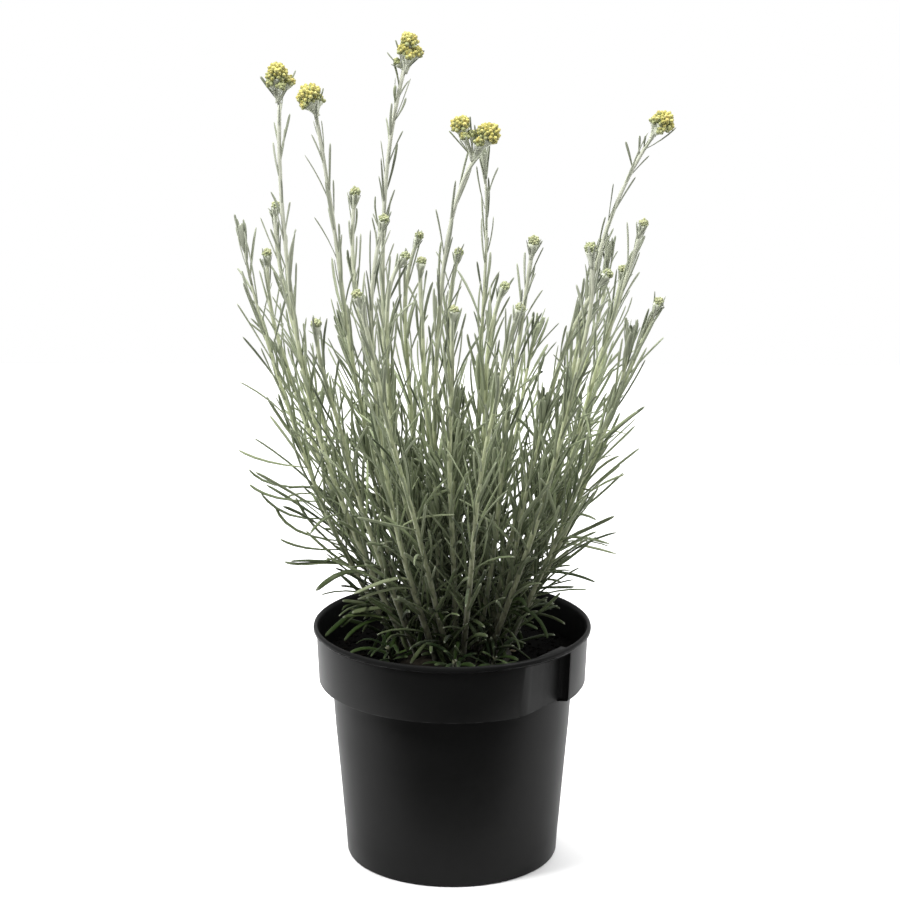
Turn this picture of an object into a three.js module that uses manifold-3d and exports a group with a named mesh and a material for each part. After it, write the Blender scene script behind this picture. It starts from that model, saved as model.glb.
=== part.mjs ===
import * as THREE from 'three';
import { mergeVertices } from 'three/addons/utils/BufferGeometryUtils.js';
import Module from 'manifold-3d';

// A curry plant in a black nursery pot: pot, compost, woody crown, leafy stems, heads, basal shoots.
// Millimetres, +Z up. The origin is the centre of the pot's underside, and the front faces -Y.

const wasm = await Module();
wasm.setup();

// Driving dimensions
const potHeight = 123.2;
const lipRadius = 71.1;
const lipHeight = 3.0;
const collarTopRadius = 69.6;
const collarFootRadius = 68.4;
const collarFootHeight = 93;
const bodyTopRadius = 61.6;
const baseRadius = 54.4;
const wall = 1.3;
const baseThickness = 1.8;
const footRounding = 1.5;
const potSides = 40;

const drainHoles = 8;
const drainHoleRadius = 4.5;
const drainCircle = 41;

// The sunk panel for a plant label, right of the front, with angles in degrees from +X. Its face is flat, at
// a distance from the axis, so it meets the collar at its left end and lies deepest at its right end.
const labelPanel = { from: -58.5, to: -31.5, facing: -37, distance: 63.4, top: 119.8, shell: 1.4, margin: 2 };

const gap = 0.3;
const compostHeight = 105;
const compostRoughness = 1.4;
const compostSides = 30;
const crownRadius = 31;
const crownHeight = 9;
const crownSides = 14;

const stemRadius = 1.25;
const stemSides = 5;
const stemSteps = 6;
const footHeight = 107;
const leavesPerStem = 8;
const leafLength = 28;
const leafWidth = 1.9;
const leafCurl = 0.12;
const leafTurns = 8;
const goldenAngle = 137.5;

// Each stem: its foot on the crown, the two handles of its curve, its top, and what it carries there
const stems = [
  { foot: [-20, -6], low: [-67, -15, 199], high: [-88, -17, 294], top: [-84, -12, 391], bloom: 'bloomA' },
  { foot: [-10, 10], low: [-47, 11, 195], high: [-53, 12, 290], top: [-68, 14, 383], bloom: 'bloomB' },
  { foot: [-5, 2], low: [-31, 0, 206], high: [-48, -2, 306], top: [-24, -6, 406], bloom: 'bloomC' },
  { foot: [-4, -7], low: [-4, -13, 164], high: [-21, -28, 313], top: [10, -34, 367], bloom: 'bloomD' },
  { foot: [20, 8], low: [60, 14, 183], high: [58, 24, 312], top: [100, 26, 370], bloom: 'bloomE' },
  { foot: [8, 12], low: [8, 21, 189], high: [20, 31, 271], top: [16, 34, 353] },
  { foot: [-25, -2], low: [-65, -7, 174], high: [-89, -13, 247], top: [-104, -2, 322] },
  { foot: [-15, 15], low: [-67, 32, 211], high: [-92, 40, 284], top: [-90, 40, 327], bud: 0.7 },
  { foot: [-21, 8], low: [-70, 16, 199], high: [-94, 19, 266], top: [-93, 16, 307], bud: 0.8 },
  { foot: [-6, 17], low: [-39, 28, 214], high: [-54, 34, 290], top: [-50, 36, 334], bud: 1.1 },
  { foot: [-7, -22], low: [-37, -47, 208], high: [-46, -57, 284], top: [-34, -50, 336], bud: 0.9 },
  { foot: [0, 22], low: [-24, 43, 206], high: [-31, 54, 274], top: [-19, 54, 309], bud: 0.75 },
  { foot: [-4, -13], low: [-33, -27, 226], high: [-40, -33, 295], top: [-26, -30, 315], bud: 0.8 },
  { foot: [3, 3], low: [-12, 1, 218], high: [-18, 2, 284], top: [-16, 4, 305], bud: 0.85 },
  { foot: [-1, -19], low: [-23, -53, 209], high: [-37, -71, 275], top: [-44, -72, 304], bud: 0.95 },
  { foot: [-17, -15], low: [-48, -39, 203], high: [-64, -54, 263], top: [-65, -58, 287], bud: 0.95 },
  { foot: [7, 19], low: [-3, 50, 203], high: [-5, 66, 267], top: [2, 66, 298], bud: 0.8 },
  { foot: [2, -12], low: [-1, -41, 214], high: [-2, -55, 276], top: [0, -54, 293], bud: 0.7 },
  { foot: [12, 4], low: [13, 5, 215], high: [17, 7, 276], top: [24, 8, 292], bud: 0.9 },
  { foot: [11, -14], low: [24, -24, 177], high: [27, -36, 253], top: [38, -38, 323], bud: 1.15 },
  { foot: [5, -22], low: [11, -56, 205], high: [20, -73, 268], top: [30, -72, 298], bud: 0.8 },
  { foot: [17, -18], low: [53, -41, 218], high: [69, -53, 290], top: [66, -52, 322], bud: 1.3 },
  { foot: [16, 18], low: [59, 51, 202], high: [80, 66, 267], top: [80, 64, 301] },
  { foot: [17, -9], low: [37, -23, 221], high: [56, -29, 287], top: [72, -26, 306], bud: 1 },
  { foot: [24, 12], low: [51, 24, 167], high: [75, 44, 228], top: [86, 40, 294], bud: 1 },
  { foot: [23, 2], low: [54, 3, 177], high: [71, 4, 252], top: [93, 6, 324], bud: 0.9 },
  { foot: [25, -8], low: [56, -14, 165], high: [74, -21, 229], top: [99, -20, 290], bud: 0.9 },
  { foot: [24, -15], low: [64, -33, 203], high: [84, -43, 260], top: [85, -44, 280] },
  { foot: [-13, 22], low: [-39, 61, 187], high: [-54, 81, 238], top: [-58, 82, 258] },
  { foot: [9, 25], low: [28, 64, 185], high: [40, 85, 234], top: [44, 88, 254] },
];

// The open heads: each cluster's centre, counted from the top of its stem, and its radius
const blooms = {
  bloomA: [{ at: [-1, 0, 14], radius: 5.4 }, { at: [5.3, -1, 10.5], radius: 3.4 }],
  bloomB: [{ at: [-2, 0, 9.5], radius: 6 }],
  bloomC: [{ at: [3, 0, 12.5], radius: 6 }, { at: [-3.4, 0, 5], radius: 2.2 }],
  bloomD: [{ at: [-7.3, 0, 16.5], radius: 5.4 }, { at: [6.2, 0, 12], radius: 6.6 }],
  bloomE: [{ at: [4.2, 0, 8], radius: 5.8 }],
};

// The short shoots at the foot: direction in degrees from +X, distance from the axis and leaf length
const basalShoots = [
  { angle: 205, distance: 33.5, leaf: 30 },
  { angle: 272, distance: 33.5, leaf: 27 },
  { angle: 305, distance: 34.5, leaf: 26 },
];
const basalLeaves = 7;
const basalLeafWidth = 3.4;
const budSides = 6;

const up = new THREE.Vector3(0, 0, 1);
const radians = THREE.MathUtils.degToRad;

const colours = {
  pot: new THREE.MeshStandardMaterial({ color: 0x26262a, roughness: 0.45, metalness: 0 }),
  compost: new THREE.MeshStandardMaterial({ color: 0x15110e, roughness: 1, metalness: 0 }),
  crown: new THREE.MeshStandardMaterial({ color: 0x5b5140, roughness: 0.95, metalness: 0 }),
  stem: new THREE.MeshStandardMaterial({ color: 0xa3ac8d, roughness: 0.9, metalness: 0 }),
  basal: new THREE.MeshStandardMaterial({ color: 0x5c6d3c, roughness: 0.8, metalness: 0 }),
  flower: new THREE.MeshStandardMaterial({ color: 0xc9b94e, roughness: 0.85, metalness: 0 }),
  bud: new THREE.MeshStandardMaterial({ color: 0xa9b07c, roughness: 0.9, metalness: 0 }),
};

// A repeatable spread between 0 and 1, for sizes and turns that vary from piece to piece
function vary(index, salt) {
  const wave = Math.sin(index * 12.9898 + salt * 78.233) * 43758.5453;
  return wave - Math.floor(wave);
}

function solid(geometry) {
  geometry.deleteAttribute('normal');
  geometry.deleteAttribute('uv');
  const merged = mergeVertices(geometry, 1e-4);
  return new wasm.Manifold(new wasm.Mesh({
    numProp: 3,
    vertProperties: new Float32Array(merged.attributes.position.array),
    triVerts: new Uint32Array(merged.index.array),
  }));
}

function mesh(name, body, material) {
  const { numProp, vertProperties, triVerts } = body.getMesh();
  const geometry = new THREE.BufferGeometry();
  geometry.setAttribute('position', new THREE.BufferAttribute(vertProperties, numProp));
  geometry.setIndex(new THREE.BufferAttribute(triVerts, 1));
  geometry.computeVertexNormals();
  const result = new THREE.Mesh(geometry, material);
  result.name = name;
  return result;
}

// A profile of [radius, height] points turned about the Z axis
function turned(profile, sides) {
  const points = profile.map(([radius, height]) => new THREE.Vector2(radius, height));
  return new THREE.LatheGeometry(points, sides).rotateX(Math.PI / 2);
}

// A piece of a ring between two angles in degrees from +X
function ringSector(inner, outer, from, to, low, high) {
  const shape = new THREE.Shape();
  shape.absarc(0, 0, outer, radians(from), radians(to), false);
  shape.absarc(0, 0, inner, radians(to), radians(from), true);
  const settings = { depth: high - low, bevelEnabled: false, curveSegments: 6 };
  return solid(new THREE.ExtrudeGeometry(shape, settings).translate(0, 0, low));
}

// All that lies beyond an upright plane at a distance from the axis, turned to an angle from +X
function beyond(distance, facing) {
  const block = new THREE.BoxGeometry(40, 120, 300).translate(distance + 20, 0, 100);
  return solid(block.rotateZ(radians(facing)));
}

// Stands a geometry made along +Y at a point, with its length along a direction
function stand(geometry, at, direction) {
  const turn = new THREE.Quaternion().setFromUnitVectors(new THREE.Vector3(0, 1, 0), direction);
  return geometry.applyQuaternion(turn).translate(at.x, at.y, at.z);
}

function makePot() {
  const lipFoot = potHeight - lipHeight;
  const profile = [
    [0, 0],
    [baseRadius - footRounding, 0],
    [baseRadius, footRounding],
    [bodyTopRadius, collarFootHeight - 0.6],
    [collarFootRadius - 0.6, collarFootHeight],
    [collarFootRadius, collarFootHeight + 0.8],
    [collarTopRadius, lipFoot],
    [lipRadius - 0.6, lipFoot + 0.4],
    [lipRadius, lipFoot + 1.4],
    [lipRadius - 0.8, potHeight],
    [collarTopRadius - 0.4, potHeight],
    [collarTopRadius - wall, lipFoot + 0.8],
    [collarFootRadius - wall, collarFootHeight + wall + 0.3],
    [bodyTopRadius - wall, collarFootHeight + wall - 1.2],
    [baseRadius - wall - 0.4, baseThickness],
    [0, baseThickness],
  ];
  let body = solid(turned(profile, potSides));

  const { from, to, facing, distance, top, shell, margin } = labelPanel;
  const bulge = ringSector(distance - 8, collarFootRadius - 0.5, from - margin, to + margin,
    collarFootHeight + 0.1, top + 1.2).intersect(beyond(distance - shell, facing));
  const recess = ringSector(distance - 8, lipRadius + 5, from, to, collarFootHeight - 5, top)
    .intersect(beyond(distance, facing));
  body = body.add(bulge).subtract(recess);

  for (let hole = 0; hole < drainHoles; hole++) {
    const angle = radians(hole * 360 / drainHoles);
    const drill = new THREE.CylinderGeometry(drainHoleRadius, drainHoleRadius, baseThickness * 4, 10);
    drill.rotateX(Math.PI / 2).translate(drainCircle * Math.cos(angle), drainCircle * Math.sin(angle), 0);
    body = body.subtract(solid(drill));
  }
  return body;
}

function makeCompost() {
  const profile = [
    [0, baseThickness + gap],
    [baseRadius - wall - gap - 0.8, baseThickness + gap],
    [bodyTopRadius - wall - gap - 0.3, collarFootHeight - 1],
    [bodyTopRadius - wall - gap - 0.3, collarFootHeight + wall + 1.2],
    [collarFootRadius - wall - gap - 0.5, collarFootHeight + wall + 1.2],
    [collarFootRadius - wall - gap - 0.2, compostHeight - 1.5],
    [58, compostHeight],
    [48, compostHeight],
    [39, compostHeight],
    [crownRadius + 3, compostHeight - gap],
    [0, compostHeight - gap],
  ];
  const geometry = turned(profile, compostSides);
  const point = new THREE.Vector3();
  const place = geometry.attributes.position;
  for (let i = 0; i < place.count; i++) {
    point.fromBufferAttribute(place, i);
    if (point.z > compostHeight - 0.1) {
      const fine = Math.sin(point.x * 0.61 + 1.3) * Math.sin(point.y * 0.53);
      const broad = Math.sin(point.x * 0.23 - point.y * 0.31);
      place.setZ(i, point.z + compostRoughness * (fine + broad) / 2);
    }
  }
  const { from, to, facing, distance, shell, margin, top } = labelPanel;
  const room = ringSector(distance - 8, lipRadius, from - margin - 1, to + margin + 1,
    collarFootHeight - 0.5, top).intersect(beyond(distance - shell - gap, facing));
  return solid(geometry).subtract(room);
}

function stemPath({ foot, low, high, top }) {
  const start = new THREE.Vector3(foot[0], foot[1], footHeight);
  const [lowHandle, highHandle, end] = [low, high, top].map((point) => new THREE.Vector3(...point));
  return new THREE.CubicBezierCurve3(start, lowHandle, highHandle, end);
}

// A round bar of a few sides along a curve
function bar(path, radius, steps) {
  const section = new THREE.Shape();
  for (let side = 0; side < stemSides; side++) {
    const angle = side * 2 * Math.PI / stemSides;
    section[side ? 'lineTo' : 'moveTo'](radius * Math.cos(angle), radius * Math.sin(angle));
  }
  section.closePath();
  return solid(new THREE.ExtrudeGeometry(section, { steps, bevelEnabled: false, extrudePath: path }));
}

// A narrow leaf from a point: it starts along a direction and curls by a share of its length
function leaf(at, direction, length, width, curl) {
  const blade = new THREE.ConeGeometry(width / 2, length, 3, 2).translate(0, length / 2, 0);
  const place = blade.attributes.position;
  for (let i = 0; i < place.count; i++) {
    const along = place.getY(i) / length;
    const fuller = along > 0.4 && along < 0.6 ? 2 : 1;
    place.setX(i, place.getX(i) * fuller * 0.6 + curl * length * along * along);
    place.setZ(i, place.getZ(i) * fuller);
  }
  const flat = new THREE.Vector3().crossVectors(direction, up).normalize();
  const side = new THREE.Vector3().crossVectors(flat, direction).normalize();
  const frame = new THREE.Matrix4().makeBasis(side, direction, flat.crossVectors(side, direction));
  return solid(blade.applyMatrix4(frame).translate(at.x, at.y, at.z));
}

function isClear(body, others) {
  return others.every((other) => body.intersect(other).isEmpty());
}

// Leaves in a spiral up a stem, each turned on until it is clear of the neighbours
function addLeaves(stem, path, index, neighbours) {
  const grown = [stem];
  for (let k = 0; k < leavesPerStem; k++) {
    const share = 0.16 + 0.74 * (k + 0.5 * vary(k, index)) / leavesPerStem;
    const at = path.getPointAt(share);
    const along = path.getTangentAt(share);
    const across = new THREE.Vector3(-along.z, 0, along.x).normalize();
    for (let attempt = 0; attempt < leafTurns; attempt++) {
      const turn = radians(goldenAngle * k + 47 * index + 43 * attempt);
      const out = across.clone().applyAxisAngle(along, turn);
      const spread = radians(38 - 14 * share);
      const direction = along.clone().multiplyScalar(Math.cos(spread)).addScaledVector(out, Math.sin(spread));
      const natural = leafLength * (1.15 - 0.35 * share) * (0.85 + 0.3 * vary(k, index + 7));
      const length = natural * (1 - 0.07 * attempt);
      const start = at.clone().addScaledVector(out, stemRadius * 0.2);
      const tip = direction.clone().multiplyScalar(length).add(at);
      const probe = leaf(start, direction, length + 1, leafWidth + 2 * gap, leafCurl);
      if (tip.z > compostHeight + 8 && isClear(probe, neighbours)) {
        grown.push(leaf(start, direction, length, leafWidth, leafCurl));
        break;
      }
    }
  }
  return wasm.Manifold.union(grown);
}

// A stalk from a stem's top to a cluster
function stalk(from, to, thin, thick) {
  const direction = to.clone().sub(from);
  const length = direction.length();
  const geometry = new THREE.CylinderGeometry(thick, thin, length, 6).translate(0, length / 2, 0);
  return solid(stand(geometry, from, direction.normalize()));
}

function makeBloom(path, clusters) {
  const top = path.getPointAt(1);
  const along = path.getTangentAt(1);
  const from = top.clone().addScaledVector(along, gap);
  const fork = top.clone().addScaledVector(along, 1.4);
  const pieces = [];
  for (const { at, radius } of clusters) {
    const centre = top.clone().add(new THREE.Vector3(...at));
    pieces.push(stalk(fork, centre, stemRadius * 0.8, radius * 0.55));
    pieces.push(solid(new THREE.IcosahedronGeometry(radius, 1).translate(centre.x, centre.y, centre.z)));
  }
  const base = stand(new THREE.CylinderGeometry(1, 1, 2, 6).translate(0, 1, 0), from, along);
  return wasm.Manifold.union([solid(base), ...pieces]);
}

function makeBud(path, size) {
  const profile = [[0, 0], [1.1, 0], [1.3, 2], [3.3, 5], [3.4, 8.5], [0, 11]];
  const points = profile.map(([radius, height]) => new THREE.Vector2(radius * size, height * size));
  const from = path.getPointAt(1).addScaledVector(path.getTangentAt(1), gap);
  return solid(stand(new THREE.LatheGeometry(points, budSides), from, path.getTangentAt(1)));
}

function makeCrown(paths) {
  const low = compostHeight;
  const profile = [
    [0, low],
    [crownRadius - 1.5, low],
    [crownRadius, low + 2],
    [crownRadius - 5, low + 0.6 * crownHeight],
    [crownRadius / 2, low + 0.9 * crownHeight],
    [0, low + crownHeight],
  ];
  const geometry = turned(profile, crownSides);
  const place = geometry.attributes.position;
  for (let i = 0; i < place.count; i++) {
    const angle = Math.atan2(place.getY(i), place.getX(i));
    const swell = 1 - 0.05 * (1 + Math.sin(3 * angle + 0.7)) - 0.03 * (1 + Math.sin(5 * angle));
    place.setX(i, place.getX(i) * swell);
    place.setY(i, place.getY(i) * swell);
  }
  const sockets = paths.map((path) => {
    const deep = path.getPoint(0).addScaledVector(path.getTangent(0), -gap);
    return bar(new THREE.LineCurve3(deep, path.getPoint(0.12)), stemRadius + 2 * gap, 1);
  });
  return solid(geometry).subtract(wasm.Manifold.union(sockets));
}

function makeBasalShoot({ angle, distance, leaf: length }, index, neighbours) {
  const outward = new THREE.Vector3(Math.cos(radians(angle)), Math.sin(radians(angle)), 0);
  const foot = outward.clone().multiplyScalar(distance).setZ(compostHeight + 2.2);
  const stub = new THREE.CylinderGeometry(1.3, 1.8, 9, 6).translate(0, 4.5, 0);
  const pieces = [solid(stand(stub, foot, up))];
  for (let k = 0; k < basalLeaves; k++) {
    for (let attempt = 0; attempt < 6; attempt++) {
      const turn = radians(angle - 100 + 200 * k / (basalLeaves - 1) + 9 * attempt);
      const rise = radians(24 + 18 * vary(k, index));
      const direction = new THREE.Vector3().setFromSphericalCoords(1, Math.PI / 2 - rise, 0);
      direction.set(direction.z * Math.cos(turn), direction.z * Math.sin(turn), direction.y);
      const at = foot.clone().setZ(foot.z + 3 + 5 * k / basalLeaves);
      const reach = length * (0.85 + 0.25 * vary(k, index + 3)) * (1 - 0.09 * attempt);
      const blade = (extra) => leaf(at, direction, reach + extra, basalLeafWidth + extra, -0.22);
      if (isClear(blade(2 * gap), neighbours)) {
        pieces.push(blade(0));
        break;
      }
    }
  }
  return wasm.Manifold.union(pieces);
}

const paths = stems.map(stemPath);
const pot = makePot();
const compost = makeCompost();
const crown = makeCrown(paths);
const bare = paths.map((path) => bar(path, stemRadius, stemSteps));
const heads = stems.map(({ bud, bloom }, i) => {
  if (bud) return makeBud(paths[i], bud);
  return bloom ? makeBloom(paths[i], blooms[bloom]) : null;
});

const placed = [pot, compost, crown, ...bare, ...heads.filter(Boolean)];
const shoots = basalShoots.map((shoot, i) => {
  const body = makeBasalShoot(shoot, i, placed);
  placed.push(body);
  return body;
});
const leafy = bare.map((stem, i) => {
  const body = addLeaves(stem, paths[i], i, placed.filter((other) => other !== stem));
  placed.splice(placed.indexOf(stem), 1, body);
  return body;
});

const number = (count) => String(count).padStart(2, '0');
const plant = new THREE.Group();
plant.add(mesh('pot', pot, colours.pot));
plant.add(mesh('compost', compost, colours.compost));
plant.add(mesh('woody_crown', crown, colours.crown));
leafy.forEach((body, i) => plant.add(mesh(`leafy_stem_${number(i + 1)}`, body, colours.stem)));
shoots.forEach((body, i) => plant.add(mesh(`basal_shoot_${i + 1}`, body, colours.basal)));
heads.forEach((body, i) => {
  if (!body) return;
  const name = stems[i].bud ? `bud_cluster_${number(i + 1)}` : `flower_head_${number(i + 1)}`;
  plant.add(mesh(name, body, stems[i].bud ? colours.bud : colours.flower));
});

export default plant;
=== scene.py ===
import math
import random

import bmesh
import bpy
import numpy as np
from mathutils import Matrix, Vector, noise


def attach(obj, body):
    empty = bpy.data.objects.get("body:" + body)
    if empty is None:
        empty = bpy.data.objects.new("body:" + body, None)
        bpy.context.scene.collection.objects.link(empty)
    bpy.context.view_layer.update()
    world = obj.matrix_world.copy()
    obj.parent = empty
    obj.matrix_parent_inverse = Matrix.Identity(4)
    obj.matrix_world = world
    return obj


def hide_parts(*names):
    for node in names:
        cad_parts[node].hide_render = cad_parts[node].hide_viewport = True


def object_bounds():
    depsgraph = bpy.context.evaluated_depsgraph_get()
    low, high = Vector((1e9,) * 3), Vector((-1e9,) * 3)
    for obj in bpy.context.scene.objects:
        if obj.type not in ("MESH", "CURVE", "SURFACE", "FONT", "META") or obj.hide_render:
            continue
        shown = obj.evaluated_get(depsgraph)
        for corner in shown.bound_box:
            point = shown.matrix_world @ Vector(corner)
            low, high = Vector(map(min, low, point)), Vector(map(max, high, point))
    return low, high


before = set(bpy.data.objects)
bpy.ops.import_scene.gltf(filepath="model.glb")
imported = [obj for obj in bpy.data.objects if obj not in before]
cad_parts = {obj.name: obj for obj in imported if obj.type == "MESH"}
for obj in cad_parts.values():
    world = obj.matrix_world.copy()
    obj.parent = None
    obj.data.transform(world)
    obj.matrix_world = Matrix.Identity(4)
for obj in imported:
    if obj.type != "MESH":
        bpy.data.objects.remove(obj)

# Shapes are modelled in millimetres, with the CAD frame's axes, and brought to metres when a piece is done.
mm = 0.001
cadLow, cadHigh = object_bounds()
scene = bpy.context.scene

# Camera, at the photograph's viewing angle
cameraView = {
    "place": (-1.3, -1366.0, 578.5),
    "lookDown": 14.93,
    "roll": 0.1,
    "lens": 112.2,
    "sensor": 36.0,
}


def addCamera():
    camera = bpy.data.objects.new("camera", bpy.data.cameras.new("camera"))
    scene.collection.objects.link(camera)
    camera.data.lens = cameraView["lens"]
    camera.data.sensor_width = cameraView["sensor"]
    tilt = Matrix.Rotation(math.radians(90 - cameraView["lookDown"]), 4, "X")
    roll = Matrix.Rotation(math.radians(cameraView["roll"]), 4, "Z")
    camera.matrix_world = Matrix.Translation(Vector(cameraView["place"]) * mm) @ tilt @ roll
    scene.camera = camera


# Studio: a white table in white surroundings, a dark room in front of it, and soft boxes above
studio = {
    "tableWide": 1300,
    "tableFront": -100,            # the table ends just in front of the pot
    "tableBack": 1100,
    "frontDark": 0.02,             # brightness of the room in front of the table
    "topBright": 0.95,
    "sideBright": 0.75,
    "topRise": (0.25, 0.7),        # where the brightness overhead begins and is full, from level up
    "topFade": (-0.9, -0.1),       # and from front to back
    "sideFade": (-1.0, 0.8),
    "softBoxes": [
        {"name": "boxLeft", "at": (-900, -500, 1500), "size": 500, "watts": 34, "matt": True},
        {"name": "boxRight", "at": (950, -250, 1300), "size": 600, "watts": 12},
        {"name": "boxTop", "at": (0, 450, 1500), "size": 900, "watts": 18},
        {"name": "boxLow", "at": (0, -1200, -150), "size": 900, "watts": 5, "matt": True},
    ],
    "aim": (0, 0, 200),
}


def joining(operation, swapped=False):
    # makes the method that joins a signal and another value by one Math node
    def join(self, other):
        left, right = (other, self) if swapped else (self, other)
        return self.finish.node("ShaderNodeMath", {"operation": operation}, left, right)
    return join


class Signal:                      # a socket that Python arithmetic works on
    def __init__(self, finish, socket):
        self.finish = finish
        self.socket = socket

    __add__ = joining("ADD")
    __radd__ = joining("ADD", swapped=True)
    __sub__ = joining("SUBTRACT")
    __rsub__ = joining("SUBTRACT", swapped=True)
    __mul__ = joining("MULTIPLY")
    __rmul__ = joining("MULTIPLY", swapped=True)
    __pow__ = joining("POWER")
    atLeast = joining("MAXIMUM")

    def spread(self, low, high):   # 0 below low, 1 above high, with a soft step between
        settings = {"interpolation_type": "SMOOTHSTEP"}
        return self.finish.node("ShaderNodeMapRange", settings, self, low, high, 0.0, 1.0)


class Finish:                      # a material, or the world, built from nodes
    def __init__(self, name, owner=None):
        self.owner = owner or bpy.data.materials.new(name)
        self.owner.use_nodes = True
        self.tree = self.owner.node_tree
        self.shader = self.tree.nodes.get("Principled BSDF")

    def node(self, kind, settings=None, *values, out=0, **named):
        made = self.tree.nodes.new(kind)
        for key, value in (settings or {}).items():
            setattr(made, key, value)
        for place, value in [*enumerate(values), *named.items()]:
            self.feed(made.inputs[place], value)
        return Signal(self, made.outputs[out])

    def feed(self, socket, value):
        if isinstance(value, Signal):
            self.tree.links.new(value.socket, socket)
        elif value is not None:
            socket.default_value = (*value, 1) if socket.type == "RGBA" and len(value) == 3 else value

    def mix(self, factor, first, second, blend="MIX"):
        settings = {"data_type": "RGBA", "blend_type": blend}
        passedOver = [None] * 5    # a Mix node's sockets for numbers and vectors
        return self.node("ShaderNodeMix", settings, factor, *passedOver, first, second, out=2)

    def place(self, stretch=(1, 1, 1)):
        where = self.node("ShaderNodeTexCoord", None, out="Object")
        return self.node("ShaderNodeMapping", None, where, Scale=stretch)

    def height(self):
        where = self.node("ShaderNodeTexCoord", None, out="Object")
        return self.node("ShaderNodeSeparateXYZ", None, where, out="Z")

    def grain(self, scale, detail=3.0, stretch=(1, 1, 1)):
        return self.node("ShaderNodeTexNoise", None, self.place(stretch), out="Fac",
                         Scale=scale, Detail=detail)

    def attribute(self, name):
        return self.node("ShaderNodeAttribute", {"attribute_name": name}, out="Fac")

    def bump(self, height, strength, distance):
        return self.node("ShaderNodeBump", None, out="Normal", Height=height,
                         Strength=strength, Distance=distance * mm)

    def surface(self, **sockets):  # names are the shader's own, with the spaces left out
        byName = {socket.name.replace(" ", ""): socket for socket in self.shader.inputs}
        for name, value in sockets.items():
            self.feed(byName[name], value)
        return self.owner


def lightStudio():
    world = bpy.data.worlds.new("studio")
    scene.world = world
    look = Finish("studio", world)
    background = look.tree.nodes["Background"]
    toward = look.node("ShaderNodeTexCoord", None, out="Generated")
    back = look.node("ShaderNodeSeparateXYZ", None, toward, out="Y")
    up = look.node("ShaderNodeSeparateXYZ", None, toward, out="Z")
    level = up.spread(*studio["topRise"])
    sides = back.spread(*studio["sideFade"]) * (1 - level) * studio["sideBright"]
    bright = sides + studio["topBright"] * level * back.spread(*studio["topFade"])
    seen = look.node("ShaderNodeLightPath", None, out="Is Camera Ray")
    look.feed(background.inputs["Color"], (1, 1, 1))
    look.feed(background.inputs["Strength"], seen.atLeast(bright.atLeast(studio["frontDark"])))
    for box in studio["softBoxes"]:
        light = bpy.data.objects.new(box["name"], bpy.data.lights.new(box["name"], "AREA"))
        light.data.energy = box["watts"]
        light.data.size = box["size"] * mm
        light.visible_glossy = not box.get("matt")
        light.location = Vector(box["at"]) * mm
        toAim = Vector(studio["aim"]) * mm - light.location
        light.rotation_euler = toAim.to_track_quat("-Z", "Y").to_euler()
        scene.collection.objects.link(light)
    scene.view_settings.view_transform = "Standard"


def addTable():
    depth = studio["tableBack"] - studio["tableFront"]
    middle = (studio["tableBack"] + studio["tableFront"]) / 2
    bpy.ops.mesh.primitive_plane_add(size=mm, location=(0, middle * mm, 0))
    bpy.ops.transform.resize(value=(studio["tableWide"], depth, 1))
    table = bpy.context.object
    table.name = "table"
    bpy.ops.object.transform_apply()
    look = Finish("tableWhite")
    speckle = look.grain(60)
    table.data.materials.append(look.surface(
        BaseColor=look.mix(speckle, (0.90, 0.90, 0.90), (0.93, 0.93, 0.93)), Roughness=0.7))


# Modelling, as by hand
def release():                     # leave edit mode with nothing selected
    if bpy.context.mode != "OBJECT":
        bpy.ops.object.mode_set(mode="OBJECT")
    bpy.ops.object.select_all(action="DESELECT")


def startRing(name, sides, radius, height, turn=0.0):
    release()
    bpy.ops.mesh.primitive_circle_add(vertices=sides, radius=radius, location=(0, 0, height),
                                      rotation=(0, 0, math.radians(turn)))
    piece = bpy.context.object
    piece.name = piece.data.name = name
    bpy.ops.object.transform_apply()
    bpy.ops.object.mode_set(mode="EDIT")
    bpy.ops.mesh.select_all(action="SELECT")
    return piece


def growRings(rings):              # extrudes the selected ring through (radius, height) rings
    for (radius, height), (newRadius, newHeight) in zip(rings, rings[1:]):
        bpy.ops.mesh.extrude_region_move(TRANSFORM_OT_translate={"value": (0, 0, newHeight - height)})
        share = newRadius / radius
        bpy.ops.transform.resize(value=(share, share, 1), center_override=(0, 0, newHeight))


def closeEnds():                   # fills every open ring and turns the faces outward
    bpy.ops.mesh.select_all(action="DESELECT")
    bpy.ops.mesh.select_mode(type="EDGE")
    bpy.ops.mesh.select_non_manifold()
    bpy.ops.mesh.edge_face_add()
    bpy.ops.mesh.select_all(action="SELECT")
    bpy.ops.mesh.normals_make_consistent(inside=False)


def modelRings(name, sides, rings, turn=0.0):
    # a closed body through (radius, height) rings, left in edit mode
    piece = startRing(name, sides, *rings[0], turn=turn)
    growRings(rings)
    closeEnds()
    return piece


def pick(piece, kind, chosen):     # selects the faces, edges or verts that the test picks
    bpy.ops.mesh.select_mode(type={"faces": "FACE", "edges": "EDGE", "verts": "VERT"}[kind])
    bpy.ops.mesh.select_all(action="DESELECT")
    mesh = bmesh.from_edit_mesh(piece.data)
    for element in getattr(mesh, kind):
        if chosen(element):
            element.select_set(True)
    mesh.select_flush_mode()
    bmesh.update_edit_mesh(piece.data)


def finishWith(piece, *modifiers):
    release()
    bpy.context.view_layer.objects.active = piece
    piece.select_set(True)
    for kind, settings in modifiers:
        made = piece.modifiers.new(kind.lower(), kind)
        for key, value in settings.items():
            setattr(made, key, value)
        bpy.ops.object.modifier_apply(modifier=made.name)


def toFrame(piece):                # the finished mesh goes from millimetres to metres
    piece.data.transform(Matrix.Scale(mm, 4))
    release()


def standFor(piece, node):   # the piece takes its CAD node's place
    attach(piece, "root")
    if node:
        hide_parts(node)


def angleOf(point):
    return math.degrees(math.atan2(point.y, point.x))


def radiusOf(point):
    return math.hypot(point.x, point.y)


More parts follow.
